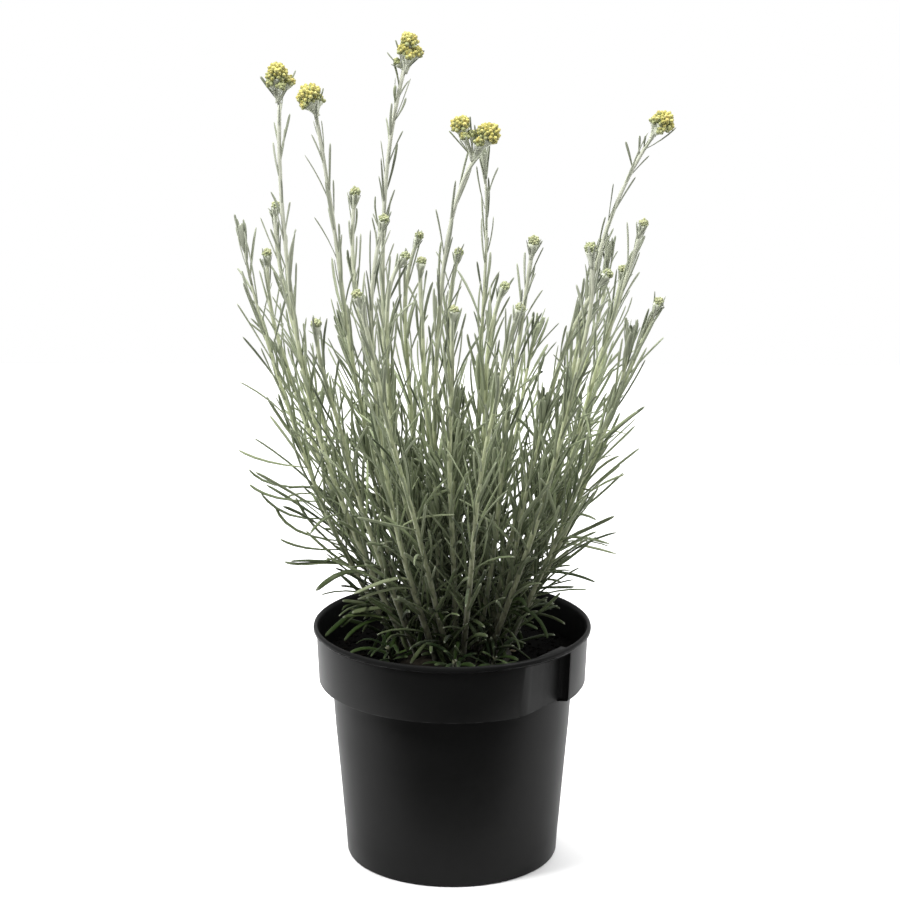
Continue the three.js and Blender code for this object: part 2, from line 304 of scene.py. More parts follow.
def moveInOut(point, share):       # toward the frame's vertical axis, or away from it
    point.x *= share
    point.y *= share


# Pot
pot = {
    "sides": 240,
    "foot": [(38.0, 1.0), (49.5, 1.0), (50.7, 0.0), (53.0, 0.0), (54.0, 0.4), (54.4, 1.4)],
    "outside": [(55.1, 12.0), (56.4, 27.0), (57.9, 45.0), (60.1, 70.0), (61.5, 90.6), (61.6, 92.4),
                (67.8, 93.0), (68.4, 93.9), (69.5, 119.2), (69.6, 119.9)],
    "lip": [(70.3, 120.1), (71.0, 120.7), (71.1, 121.6), (70.8, 122.6), (70.2, 123.1), (69.6, 123.2),
            (69.1, 122.8), (68.7, 121.8)],
    "inside": [(68.3, 120.8), (67.2, 95.6), (66.9, 94.8), (60.3, 93.6), (60.2, 91.0), (53.3, 3.4),
               (52.0, 1.9)],
    "holes": 8,
    "holeRadius": 4.5,
    "holeCircle": 41.0,
    "edge": 0.3,
    "sharp": 38,                   # edges that turn more than this, in degrees, are rounded
}
panel = {                          # the sunk place for a label, in the pot's collar
    "from": -58.5, "to": -31.5,    # its ends, as angles round the pot
    "column": 1.5,                 # width of one of the pot's sides, in degrees
    "outside": (93.0, 119.2),      # heights of the wall that is pressed in, outside and inside
    "inside": (94.8, 120.8),
    "wallRadius": 64.6,
    "shell": 1.5,                  # thickness of the wall behind the flat face
    "flatAngle": -37.0,            # where the flat face looks, and how far out it lies at foot and top
    "flatFoot": 62.9, "flatTop": 64.1,
    "foot": 93, "tall": 26,        # the collar's own foot and height
    "collarFoot": 67.9, "collarGain": 1.5,     # its radius at the foot, and what it gains by the top
    "proud": 0.35,                 # the face stays at least this far inside the collar
    "fillet": 2.4, "filletRadii": (61, 65.2), "filletTall": 20,
    "slant": 2.4, "slantColumns": 6,           # how far the left end's foot turns, in degrees
    "slantRadius": 62.5, "slantHeights": (92.9, 94.5),
}


def pressFlat(piece, depth):
    # moves the chosen verts in to the flat label face, or to a depth behind it
    mesh = bmesh.from_edit_mesh(piece.data)
    for vert in mesh.verts:
        if vert.select:
            up = (vert.co.z - panel["foot"]) / panel["tall"]
            flat = panel["flatFoot"] + (panel["flatTop"] - panel["flatFoot"]) * up
            collar = panel["collarFoot"] + panel["collarGain"] * up - panel["proud"]
            toward = min(flat / math.cos(math.radians(angleOf(vert.co) - panel["flatAngle"])), collar)
            moveInOut(vert.co, (toward - depth) / radiusOf(vert.co))
    bmesh.update_edit_mesh(piece.data)


def sinkPanel(piece, side, heights, widen, depth):
    # presses the wall's faces between two heights in to the label face, and closes the shelf under them
    low, high = heights

    def inSector(point, margin):
        inWidth = panel["from"] - widen - margin < angleOf(point) < panel["to"] + widen + margin
        return inWidth and radiusOf(point) > panel["wallRadius"]

    def onWall(face):
        middle = face.calc_center_median()
        return (low < middle.z < high and inSector(middle, 0)
                and side * face.normal.dot(middle * Vector((1, 1, 0))) > 0)

    pick(piece, "faces", onWall)
    bpy.ops.mesh.extrude_region_move()
    pressFlat(piece, depth)
    pick(piece, "verts", lambda vert: abs(vert.co.z - low) < 0.05 and inSector(vert.co, -0.3))
    pressFlat(piece, depth)
    pick(piece, "verts", lambda vert: vert.co.z < high + 0.1)
    bpy.ops.mesh.remove_doubles(threshold=0.02)


def roundCorner(piece):            # the soft inner corner at the panel's right end
    def onCorner(vert):
        inner, outer = panel["filletRadii"]
        return abs(angleOf(vert.co) - panel["to"]) < 0.2 and inner < radiusOf(vert.co) < outer

    def isCorner(edge):
        first, second = edge.verts
        return onCorner(first) and onCorner(second) and abs(first.co.z - second.co.z) > panel["filletTall"]

    pick(piece, "edges", isCorner)
    bpy.ops.mesh.bevel(offset=panel["fillet"], segments=5, affect="EDGES")


def slantEnd(piece):
    # the left end slants: its foot turns outward, and the columns beside it less and less
    low, high = panel["slantHeights"]
    for column in range(panel["slantColumns"]):
        edge = panel["from"] - column * panel["column"]
        pick(piece, "verts", lambda vert: abs(angleOf(vert.co) - edge) < 0.2
             and radiusOf(vert.co) > panel["slantRadius"] and low < vert.co.z < high)
        turn = panel["slant"] * (1 - column / panel["slantColumns"])
        bpy.ops.transform.rotate(value=math.radians(turn), orient_axis="Z", center_override=(0, 0, 0))


def drillTool():                   # one object that holds all the drainage holes
    release()
    drills = []
    for hole in range(pot["holes"]):
        angle = 2 * math.pi * (hole + 0.5) / pot["holes"]
        bpy.ops.mesh.primitive_cylinder_add(
            vertices=32, radius=pot["holeRadius"], depth=8,
            location=(pot["holeCircle"] * math.cos(angle), pot["holeCircle"] * math.sin(angle), 0))
        drills.append(bpy.context.object)
    for drill in drills:
        drill.select_set(True)
    bpy.ops.object.join()
    bpy.ops.object.transform_apply()
    return bpy.context.object


def makePot():
    piece = modelRings("pot", pot["sides"], pot["foot"] + pot["outside"] + pot["lip"] + pot["inside"])
    sinkPanel(piece, 1, panel["outside"], 0, 0)
    sinkPanel(piece, -1, panel["inside"], panel["column"], panel["shell"])
    roundCorner(piece)
    slantEnd(piece)
    bpy.ops.mesh.select_all(action="SELECT")
    bpy.ops.mesh.normals_make_consistent(inside=False)
    drill = drillTool()
    sharp = math.radians(pot["sharp"])
    finishWith(piece, ("BOOLEAN", {"object": drill, "operation": "DIFFERENCE", "solver": "EXACT"}),
               ("BEVEL", {"width": pot["edge"], "segments": 2, "limit_method": "ANGLE",
                          "angle_limit": sharp}))
    bpy.data.objects.remove(drill)
    bpy.ops.object.shade_smooth_by_angle(angle=sharp)
    toFrame(piece)
    piece.data.materials.clear()
    piece.data.materials.append(potPlastic())
    standFor(piece, "pot")
    print("pot", len(piece.data.polygons), "faces")


def potPlastic():
    look = Finish("potPlastic")
    fine = look.grain(2600, 2)
    cloudy = look.grain(38, 4)
    rubbed = look.grain(150, 5, (1, 1, 0.35)).spread(0.62, 0.78)
    dusty = rubbed * look.height().spread(0.117, 0.1235)
    colour = look.mix(cloudy, (0.0058, 0.0059, 0.0058), (0.0094, 0.0095, 0.0093))
    colour = look.mix(dusty * 0.5, colour, (0.04, 0.04, 0.038))
    rough = 0.36 + 0.10 * cloudy + 0.10 * dusty
    return look.surface(BaseColor=colour, Roughness=rough, SpecularIORLevel=0.085,
                        Normal=look.bump(fine + 0.6 * cloudy, 0.12, 0.08))


# Shapes that repeat: each is modelled once, and its copies are bent and placed into a piece's own mesh
class Shape:
    def __init__(self, piece):
        release()
        mesh = piece.data
        self.points = np.empty(len(mesh.vertices) * 3)
        mesh.vertices.foreach_get("co", self.points)
        self.points = self.points.reshape(-1, 3)
        self.corners = np.empty(len(mesh.loops), np.int32)
        mesh.loops.foreach_get("vertex_index", self.corners)
        self.sizes = np.empty(len(mesh.polygons), np.int32)
        mesh.polygons.foreach_get("loop_total", self.sizes)
        self.steps, self.ring = np.unique(np.round(self.points[:, 2], 5), return_inverse=True)
        bpy.data.objects.remove(piece)


class Gathering:                   # the copies that make up one piece
    def __init__(self, name):
        self.name = name
        self.parts = []
        self.count = 0

    def add(self, shape, points, finish, shade, side, along):
        size = len(points)
        self.parts.append((points, shape.corners + self.count, shape.sizes,
                           np.full(len(shape.sizes), finish), np.full(size, shade),
                           np.broadcast_to(side, size), np.broadcast_to(along, size)))
        self.count += size

    def piece(self, finishes, node, slot):
        points, corners, sizes, finish, shade, side, along = map(np.concatenate, zip(*self.parts))
        mesh = bpy.data.meshes.new(self.name)
        mesh.vertices.add(len(points))
        mesh.vertices.foreach_set("co", (points * mm).astype(np.float32).ravel())
        mesh.loops.add(len(corners))
        mesh.loops.foreach_set("vertex_index", corners)
        mesh.polygons.add(len(sizes))
        mesh.polygons.foreach_set("loop_start", np.concatenate([[0], np.cumsum(sizes)[:-1]]))
        mesh.polygons.foreach_set("loop_total", sizes)
        mesh.polygons.foreach_set("material_index", finish.astype(np.int32))
        mesh.polygons.foreach_set("use_smooth", np.ones(len(sizes), bool))
        for name, values in (("shade", shade), ("side", side), ("along", along)):
            attribute = mesh.attributes.new(name, "FLOAT", "POINT")
            attribute.data.foreach_set("value", values.astype(np.float32))
        mesh.update(calc_edges=True)
        mesh.validate()
        for material in finishes:
            mesh.materials.append(material)
        made = bpy.data.objects.new(self.name, mesh)
        scene.collection.objects.link(made)
        standFor(made, node)


def unit(vector):
    return vector / max(np.linalg.norm(vector), 1e-9)


def across(direction):             # two directions square to one another and to the given one
    helper = (0.0, 1.0, 0.0) if abs(direction[1]) < 0.9 else (1.0, 0.0, 0.0)
    first = unit(np.cross(direction, helper))
    return first, np.cross(direction, first)


def around(angle, first, second):  # the direction at an angle from first toward second
    return math.cos(angle) * first + math.sin(angle) * second


# A leaf is one unit long, and its rings are half its width at each height
leafShapes = {
    "needle": {
        "rings": [(0.34, 0), (0.40, 0.06), (0.46, 0.20), (0.50, 0.45), (0.50, 0.70), (0.45, 0.88),
                  (0.33, 0.965), (0.14, 1)],
        "thickness": 0.60, "groove": 0.10,
    },
    "blade": {
        "rings": [(0.22, 0), (0.28, 0.1), (0.37, 0.28), (0.46, 0.5), (0.50, 0.7), (0.48, 0.86),
                  (0.36, 0.96), (0.15, 1)],
        "thickness": 0.40, "groove": 0.09,
    },
}
# Round shapes: how many sides, and the (radius, height) of each ring
roundShapes = {
    "stem": (12, [(1, step / 56) for step in range(57)]),
    "stalk": (6, [(1, 0), (0.85, 0.3), (0.8, 0.6), (0.95, 0.85), (1.1, 1)]),
    "button": (8, [(0.22, 0), (0.40, 0.14), (0.49, 0.36), (0.47, 0.56), (0.50, 0.62), (0.42, 0.82),
                   (0.22, 0.93), (0.22, 0.97), (0.07, 1.0)]),
    "cone": (8, [(0.30, 0), (0.42, 0.35), (0.78, 0.75), (0.96, 0.95), (0.7, 1.0)]),
    "goblet": (12, [(0.38, 0), (0.48, 0.25), (0.62, 0.55), (0.86, 0.82), (0.96, 0.95), (0.7, 1.0)]),
    "egg": (12, [(0.25, 0), (0.58, 0.12), (0.86, 0.32), (1.0, 0.55), (0.93, 0.74), (0.68, 0.90),
                 (0.3, 1.0)]),
    "crumb": (5, [(0.35, -0.3), (0.5, 0.02), (0.3, 0.32)]),
}
shapes = {}                        # each finished shape by its name


def modelLeaf(name, rings, thickness, groove):
    # a narrow leaf with rolled margins, a groove along its top and a rib below
    piece = modelRings(name, 8, rings, turn=90)
    bpy.ops.transform.resize(value=(1, thickness, 1), center_override=(0, 0, 0))
    pick(piece, "verts", lambda vert: abs(vert.co.x) < 0.01 and vert.co.y > 0 and 0.02 < vert.co.z < 0.97)
    bpy.ops.transform.translate(value=(0, -groove, 0))
    pick(piece, "verts", lambda vert: abs(vert.co.x) > 0.2 and abs(vert.co.y) < 0.02)
    bpy.ops.transform.translate(value=(0, -groove * 0.5, 0))
    return Shape(piece)


def pressScales(piece):            # every other side of a button sinks in, between its close scales
    pick(piece, "verts", lambda vert: round(angleOf(vert.co) / 45) % 2 == 0 and 0.3 < vert.co.z < 0.7)
    bpy.ops.transform.resize(value=(0.88, 0.88, 1), center_override=(0, 0, 0))


def modelShapes():
    for name, leaf in leafShapes.items():
        shapes[name] = modelLeaf(name, **leaf)
    for name, (sides, rings) in roundShapes.items():
        piece = modelRings(name, sides, rings)
        if name == "button":
            pressScales(piece)
        shapes[name] = Shape(piece)
    print("shapes", {name: len(shape.sizes) for name, shape in shapes.items()})


def bendAlong(shape, line, width, thick, sideways):
    # lays a shape along a line of points, one for each of its rings: x goes sideways, and y over the line
    ahead = np.gradient(line, axis=0)
    ahead /= np.linalg.norm(ahead, axis=1)[:, None]
    sideways = sideways - (sideways * ahead).sum(1)[:, None] * ahead
    sideways /= np.linalg.norm(sideways, axis=1)[:, None]
    over = np.cross(ahead, sideways)
    ring = shape.ring
    return (line[ring] + sideways[ring] * (shape.points[:, :1] * np.asarray(width)[..., None])
            + over[ring] * (shape.points[:, 1:2] * np.asarray(thick)[..., None]))


def growLeaf(gathering, kind, root, axis, outward, length, width, lean, curl, droop, sway, twist,
             finish, shade, thick=None):
    # lean is the angle from the stem at the leaf's root, curl what it gains by its tip, both in degrees
    shape = shapes[kind]
    side = unit(np.cross(axis, outward))
    steps = shape.steps
    angle = np.radians(lean + curl * steps)[:, None]
    ahead = np.cos(angle) * axis + np.sin(angle) * outward
    ahead = ahead + side * (sway * steps[:, None]) + np.array([0, 0, -droop]) * steps[:, None] ** 2
    ahead /= np.linalg.norm(ahead, axis=1)[:, None]
    mid = (ahead[1:] + ahead[:-1]) / 2 * (np.diff(steps) * length)[:, None]
    line = root + np.concatenate([[np.zeros(3)], np.cumsum(mid, axis=0)])
    turn = np.radians(twist * steps)[:, None]
    over = np.cross(ahead, side)
    sideways = np.cos(turn) * side + np.sin(turn) * over
    points = keepInside(bendAlong(shape, line, width, thick or width, sideways))
    gathering.add(shape, points, finish, shade, np.sign(shape.points[:, 1]), shape.points[:, 2])


leafRoom = {"spare": 6.0}          # how far a leaf may pass the CAD model's box, in millimetres


def keepInside(points):
    return np.clip(points, np.array(cadLow) / mm - leafRoom["spare"],
                   np.array(cadHigh) / mm + leafRoom["spare"])


# Stems: foot, the two handles of the curve and top, in millimetres, as the CAD frame has them
stemRows = [
    ((-20, -6), (-67, -15, 199), (-88, -17, 294), (-84, -12, 391), "bloom", 0.6),
    ((-10, 10), (-47, 11, 195), (-53, 12, 290), (-68, 14, 383), "bloom", 0.6),
    ((-5, 2), (-31, 0, 206), (-48, -2, 306), (-24, -6, 406), "bloom", 0.6),
    ((-4, -7), (-4, -13, 164), (-21, -28, 313), (10, -34, 367), "bloom", 0.6),
    ((20, 8), (60, 14, 183), (58, 24, 312), (100, 26, 370), "bloom", 0.6),
    ((8, 12), (8, 21, 189), (20, 31, 271), (16, 34, 353), "none", 0.6),
    ((-25, -2), (-65, -7, 174), (-89, -13, 247), (-104, -2, 322), "none", 0.6),
    ((-15, 15), (-67, 32, 211), (-92, 40, 284), (-90, 40, 327), "bud", 0.7),
    ((-21, 8), (-70, 16, 199), (-94, 19, 266), (-93, 16, 307), "bud", 0.8),
    ((-6, 17), (-39, 28, 214), (-54, 34, 290), (-50, 36, 334), "bud", 1.1),
    ((-7, -22), (-37, -47, 208), (-46, -57, 284), (-34, -50, 336), "bud", 0.9),
    ((0, 22), (-24, 43, 206), (-31, 54, 274), (-19, 54, 309), "bud", 0.75),
    ((-4, -13), (-33, -27, 226), (-40, -33, 295), (-26, -30, 315), "bud", 0.8),
    ((3, 3), (-12, 1, 218), (-18, 2, 284), (-16, 4, 305), "bud", 0.85),
    ((-1, -19), (-23, -53, 209), (-37, -71, 275), (-44, -72, 304), "bud", 0.95),
    ((-17, -15), (-48, -39, 203), (-64, -54, 263), (-65, -58, 287), "bud", 0.95),
    ((7, 19), (-3, 50, 203), (-5, 66, 267), (2, 66, 298), "bud", 0.8),
    ((2, -12), (-1, -41, 214), (-2, -55, 276), (0, -54, 293), "bud", 0.7),
    ((12, 4), (13, 5, 215), (17, 7, 276), (24, 8, 292), "bud", 0.9),
    ((11, -14), (24, -24, 177), (27, -36, 253), (38, -38, 323), "bud", 1.15),
    ((5, -22), (11, -56, 205), (20, -73, 268), (30, -72, 298), "bud", 0.8),
    ((17, -18), (53, -41, 218), (69, -53, 290), (66, -52, 322), "bud", 1.3),
    ((16, 18), (59, 51, 202), (80, 66, 267), (80, 64, 301), "none", 0.6),
    ((17, -9), (37, -23, 221), (56, -29, 287), (72, -26, 306), "bud", 1.0),
    ((24, 12), (51, 24, 167), (75, 44, 228), (86, 40, 294), "bud", 1.0),
    ((23, 2), (54, 3, 177), (71, 4, 252), (93, 6, 324), "bud", 0.9),
    ((25, -8), (56, -14, 165), (74, -21, 229), (99, -20, 290), "bud", 0.9),
    ((24, -15), (64, -33, 203), (84, -43, 260), (85, -44, 280), "none", 0.6),
    ((-13, 22), (-39, 61, 187), (-54, 81, 238), (-58, 82, 258), "none", 0.6),
    ((9, 25), (28, 64, 185), (40, 85, 234), (44, 88, 254), "none", 0.6),
]
stems = [dict(zip(("foot", "low", "high", "top", "head", "size"), row)) for row in stemRows]

stemShape = {
    "footHeight": 107,
    "shares": (0, 0.3, 0.65, 1),   # places up the stem, then the radius there
    "radii": (1.6, 1.2, 1.1, 0.95),
    "leafyRadii": (1.4, 1.1, 0.9, 0.6),
    "woollyFeet": {1: 1.2, 4: 1.15, 11: 1.1},
    "wander": 0.9,                 # how far a stem strays from its smooth curve, and in how many waves
    "waves": (9, 8),
    "knobbly": 0.10,               # how much its thickness varies
    "flare": 0.15,                 # how much a stem widens under its head
}
goldenAngle = 137.5                # from one leaf, shoot or button to the next, in degrees

# How the leaves change up a stem: height above the table, then each value at that height
leafHabit = {
    "height":  (107, 125, 150, 180, 215, 260, 320, 400),
    "spacing": (4.5, 3.6, 3.1, 3.1, 3.6, 4.6, 5.8, 7.2),
    "length":  (20, 26, 33, 36, 34, 29, 23, 18),
    "width":   (1.9, 1.8, 1.65, 1.6, 1.5, 1.4, 1.25, 1.1),
    "lean":    (66, 56, 47, 38, 27, 20, 17, 15),
    "droop":   (0.5, 0.35, 0.15, 0.05, 0.0, 0.0, 0.0, 0.0),
}
# How each leaf differs from that: shares of the value, or angles in degrees
leafStray = {
    "firstAt": (5, 9),             # along the stem, in millimetres
    "spacing": (0.7, 1.3), "turn": (-12, 12),
    "length": (0.62, 1.2), "width": (0.75, 1.2),
    "lean": (0.55, 1.3), "standOut": 0.14, "standLean": 1.7,
    "lowCurl": (-0.5, 0.6), "highCurl": (-0.9, -0.5, 0.0, 0.3, 0.8), "curlHeight": 150,
    "droop": (0.4, 1.8), "sway": 0.18, "twist": (-110, 110),
    "closeTop": 16, "closer": 0.35,            # a leafy stem's last leaves stand closer
}
# The young leaves at the end of a leafy stem
tipHabit = {
    "count": 8, "turn": (-15, 15), "below": 1.0, "step": 0.9, "out": 0.5,
    "length": (9, 15), "longer": 0.6, "width": (1.7, 2.5), "thick": 0.6,
    "lean": (7, 13), "curl": (-16, -2), "sway": 0.05, "twist": (-40, 40),
}


def stemLine(stem, steps, strays):
    foot = np.array([*stem["foot"], stemShape["footHeight"]], float)
    top = np.array(stem["top"], float)
    low = np.array(stem["low"], float)
    high = np.array(stem["high"], float)
    share = np.asarray(steps)[:, None]
    left = 1 - share
    line = left ** 3 * foot + 3 * left * share * (left * low + share * high) + share ** 3 * top
    swing = np.sin(np.pi * share) * stemShape["wander"]
    for side in (0, 1):
        line[:, side:side + 1] += swing * np.sin(strays[side] + stemShape["waves"][side] * share)
    return line


def habit(name, height):
    return float(np.interp(height, leafHabit["height"], leafHabit[name]))


# Leaves that the photograph shows one by one: stem, root, bend and tip, width, tone and shade
placedLeaves = [
    (7, (-41, -4, 137), (-53, -5, 129), (-65, -5, 117), 3.0, "G", 0.45),
    (7, (-40, -4, 136), (-48, -5, 131), (-57, -5, 122), 3.0, "D", 0.35),
    (1, (-33, -8, 133), (-42, -9, 134), (-51, -9, 131), 3.0, "P", 0.80),
    (7, (-39, -4, 133), (-47, -5, 136), (-56, -5, 136), 2.2, "P", 0.50),
    (7, (-39, -4, 134), (-55, -5, 136), (-56, -5, 131), 1.3, "D", 0.50),
    (1, (-30, -8, 128), (-46, -8, 129), (-55, -9, 116), 2.4, "G", 0.60),
    (7, (-37, -4, 130), (-42, -4, 127), (-46, -5, 119), 1.5, "P", 0.30),
    (1, (-33, -8, 133), (-30, -9, 128), (-27, -9, 124), 1.8, "D", 0.60),
    (1, (-29, -8, 125), (-32, -8, 121), (-36, -9, 113), 2.4, "G", 0.30),
    (8, (-18, 16, 113), (-28, 8, 111), (-38, 0, 108), 3.0, "G", 0.75),
    (7, (-33, -3, 122), (-37, -4, 118), (-41, -4, 109), 1.8, "D", 0.30),
    (16, (-25, -21, 131), (-27, -22, 123), (-22, -22, 115), 2.4, "P", 0.60),
    (1, (-28, -7, 122), (-28, -8, 118), (-29, -8, 111), 2.0, "P", 0.30),
    (11, (-11, -26, 122), (-16, -26, 118), (-21, -27, 110), 2.4, "P", 0.40),
    (11, (-11, -26, 122), (-7, -26, 118), (-3, -27, 109), 2.8, "D", 0.70),
    (15, (-4, -24, 121), (-1, -22, 116), (1, -21, 107), 3.0, "D", 0.90),
    (15, (-8, -30, 140), (-6, -30, 138), (-4, -31, 133), 2.6, "G", 1.00),
    (14, (0, 3, 128), (0, 2, 127), (0, 2, 123), 2.6, "P", 0.70),
    (13, (-11, -16, 136), (-4, -17, 140), (3, -17, 139), 3.0, "G", 0.40),
    (20, (16, -19, 141), (15, -20, 139), (13, -20, 133), 2.7, "G", 0.60),
    (22, (28, -25, 141), (34, -25, 148), (37, -26, 140), 3.0, "G", 0.70),
    (22, (27, -25, 139), (34, -25, 144), (39, -26, 137), 2.4, "G", 0.60),
    (22, (27, -25, 139), (32, -25, 138), (38, -26, 132), 1.9, "G", 0.50),
    (22, (25, -23, 133), (30, -24, 140), (34, -24, 134), 2.6, "D", 0.40),
    (22, (27, -25, 139), (44, -25, 140), (48, -26, 123), 2.3, "G", 0.55),
    (26, (29, 2, 124), (36, 2, 123), (44, 1, 119), 2.3, "G", 0.80),
    (26, (29, 2, 124), (36, 3, 118), (36, 5, 107), 2.5, "G", 0.60),
    (22, (22, -21, 122), (29, -22, 123), (37, -22, 119), 1.4, "D", 0.70),
    (22, (22, -21, 122), (25, -22, 118), (27, -22, 111), 2.7, "G", 0.95),
    (24, (19, -10, 119), (21, -11, 118), (19, -11, 110), 2.3, "P", 0.20),
    (19, (12, 4, 110), (15, 3, 115), (18, 2, 110), 2.2, "G", 0.50),
    (18, (1, -17, 124), (5, -17, 121), (9, -18, 114), 3.0, "G", 0.50),
    (18, (2, -15, 117), (3, -14, 114), (3, -14, 107), 2.2, "D", 0.60),
    (20, (12, -15, 117), (13, -16, 118), (14, -16, 115), 1.6, "P", 0.60),
    (15, (-5, -26, 128), (-8, -26, 124), (-10, -27, 116), 2.4, "D", 0.30),
    (11, (-14, -28, 132), (-16, -29, 128), (-17, -29, 120), 2.3, "G", 0.30),
    (21, (7, -32, 135), (10, -32, 132), (13, -33, 124), 2.4, "D", 0.30),
    (8, (-23, 17, 122), (-21, 16, 120), (-19, 14, 113), 2.2, "D", 0.30),
    (18, (1, -17, 127), (-1, -18, 123), (-3, -18, 114), 2.4, "G", 0.35),
    (18, (2, -25, 148), (-2, -28, 149), (-6, -29, 150), 1.6, "D", 0.90),
    (18, (2, -25, 148), (-3, -28, 146), (-8, -29, 143), 2.0, "D", 0.80),
    (18, (2, -25, 148), (1, -28, 153), (-1, -29, 156), 1.5, "D", 0.70),
    (18, (2, -25, 148), (7, -29, 152), (3, -29, 158), 1.2, "D", 0.70),
    (18, (2, -25, 148), (7, -28, 152), (13, -29, 155), 1.7, "D", 0.80),
    (18, (2, -25, 148), (5, -28, 146), (7, -29, 143), 1.7, "P", 0.60),
    (18, (2, -25, 148), (4, -28, 144), (5, -29, 139), 2.2, "P", 0.80),
    (11, (-19, -33, 152), (-19, -36, 165), (-49, -40, 151), 2.3, "L", 0.55),
    (11, (-19, -32, 150), (-24, -35, 156), (-47, -39, 148), 1.7, "L", 0.40),
    (1, (-40, -10, 150), (-53, -11, 160), (-69, -13, 144), 3.3, "D", 0.45),
    (7, (-50, -6, 156), (-66, -7, 159), (-82, -8, 158), 1.7, "D", 0.20),
    (7, (-50, -6, 155), (-63, -7, 158), (-76, -8, 156), 1.6, "P", 0.40),
    (5, (30, 11, 141), (19, 11, 157), (18, 10, 140), 3.0, "P", 0.80),
    (11, (-26, -39, 182), (-25, -43, 193), (1, -47, 194), 1.4, "L", 0.80),
    (10, (-21, 22, 158), (-21, 23, 165), (-9, 23, 165), 1.5, "L", 0.70),
    (12, (-10, 31, 152), (-10, 33, 158), (0, 34, 159), 1.5, "L", 0.60),
    (12, (-14, 35, 171), (-9, 37, 177), (-5, 38, 179), 1.5, "L", 0.60),
    (30, (19, 45, 147), (3, 47, 149), (-3, 50, 159), 1.6, "L", 0.70),
    (8, (-48, 26, 177), (-54, 27, 185), (-40, 28, 196), 1.7, "L", 0.95),
    (12, (-17, 38, 188), (-17, 40, 198), (-18, 42, 204), 1.6, "L", 0.80),
    (16, (-39, -33, 177), (-37, -36, 187), (-35, -39, 193), 1.6, "L", 0.70),
    (20, (23, -26, 193), (19, -29, 200), (15, -32, 209), 1.4, "L", 0.80),
    (7, (-73, -8, 207), (-95, -9, 209), (-107, -11, 217), 1.7, "L", 0.40),
    (7, (-66, -7, 190), (-92, -9, 189), (-102, -10, 199), 1.9, "D", 0.50),
    (7, (-69, -8, 198), (-93, -9, 195), (-102, -11, 207), 1.7, "D", 0.30),
    (7, (-56, -6, 169), (-84, -8, 171), (-89, -9, 187), 2.0, "D", 0.60),
    (7, (-62, -7, 181), (-85, -8, 178), (-96, -10, 194), 1.8, "D", 0.30),
    (7, (-54, -6, 164), (-76, -8, 163), (-87, -9, 170), 1.7, "D", 0.40),
    (7, (-53, -6, 161), (-76, -7, 154), (-85, -9, 158), 1.9, "D", 0.50),
    (28, (50, -27, 172), (54, -30, 182), (78, -33, 175), 1.8, "D", 0.60),
    (25, (45, 23, 156), (55, 24, 162), (85, 25, 152), 1.8, "L", 0.40),
    (25, (39, 20, 142), (55, 21, 147), (74, 21, 138), 2.0, "G", 0.50),
    (28, (41, -23, 149), (47, -26, 150), (61, -28, 151), 1.9, "D", 0.20),
    (28, (42, -23, 151), (47, -26, 156), (54, -29, 154), 1.6, "D", 0.20),
    (28, (44, -24, 156), (51, -27, 162), (59, -30, 163), 1.3, "D", 0.50),
    (25, (41, 21, 147), (53, 22, 146), (60, 23, 155), 2.0, "L", 0.40),
    (28, (54, -29, 181), (59, -32, 195), (71, -35, 188), 1.7, "D", 0.50),
    (1, (-89, -12, 397), (-90, -14, 400), (-93, -13, 404), 1.7, "D", 0.35),
    (1, (-78, -12, 402), (-77, -14, 404), (-76, -13, 407), 0.9, "D", 0.80),
    (2, (-65, 14, 391), (-64, 12, 393), (-64, 13, 395), 0.8, "D", 0.60),
    (2, (-73, 14, 383), (-75, 12, 386), (-76, 13, 388), 0.8, "D", 0.70),
    (3, (-27, -6, 407), (-30, -8, 412), (-32, -7, 415), 0.9, "D", 0.70),
    (3, (-26, -6, 416), (-27, -8, 419), (-28, -7, 421), 0.9, "D", 0.60),
    (3, (-21, -6, 405), (-18, -8, 411), (-14, -7, 416), 1.3, "D", 0.35),
    (3, (-28, -6, 397), (-27, -8, 406), (-29, -7, 410), 1.2, "L", 0.50),
    (4, (7, -34, 383), (8, -36, 386), (8, -35, 388), 0.9, "D", 0.30),
    (4, (10, -34, 380), (11, -36, 382), (10, -35, 384), 0.8, "D", 0.50),
    (4, (3, -34, 377), (0, -36, 379), (-2, -35, 381), 1.0, "L", 0.30),
    (4, (8, -34, 371), (5, -36, 374), (3, -35, 377), 0.9, "P", 0.50),
    (5, (96, 26, 362), (105, 24, 368), (111, 25, 374), 0.9, "D", 0.60),
    (5, (108, 26, 378), (108, 24, 379), (109, 25, 380), 0.8, "D", 0.40),
    (5, (91, 26, 359), (93, 24, 365), (93, 25, 370), 1.2, "D", 0.50),
    (5, (94, 26, 364), (95, 24, 367), (96, 25, 370), 1.1, "D", 0.40),
    (5, (86, 26, 355), (88, 24, 361), (86, 25, 367), 1.5, "D", 0.55),
    (1, (-83, -12, 364), (-82, -14, 374), (-79, -13, 386), 1.3, "D", 0.75),
    (3, (-26, -6, 380), (-24, -8, 388), (-23, -7, 393), 1.2, "D", 0.60),
    (3, (-29, -6, 390), (-29, -8, 395), (-28, -7, 399), 1.6, "L", 0.40),
]
# A tone is a finish in the stem's piece and the side of the leaf that shows; None leaves it as it lies
tones = {"G": (2, None), "D": (0, 1.0), "L": (3, 1.0), "P": (0, -1.0)}
placedFace = (0.1, -0.55, 0.85)    # where a placed leaf's face looks


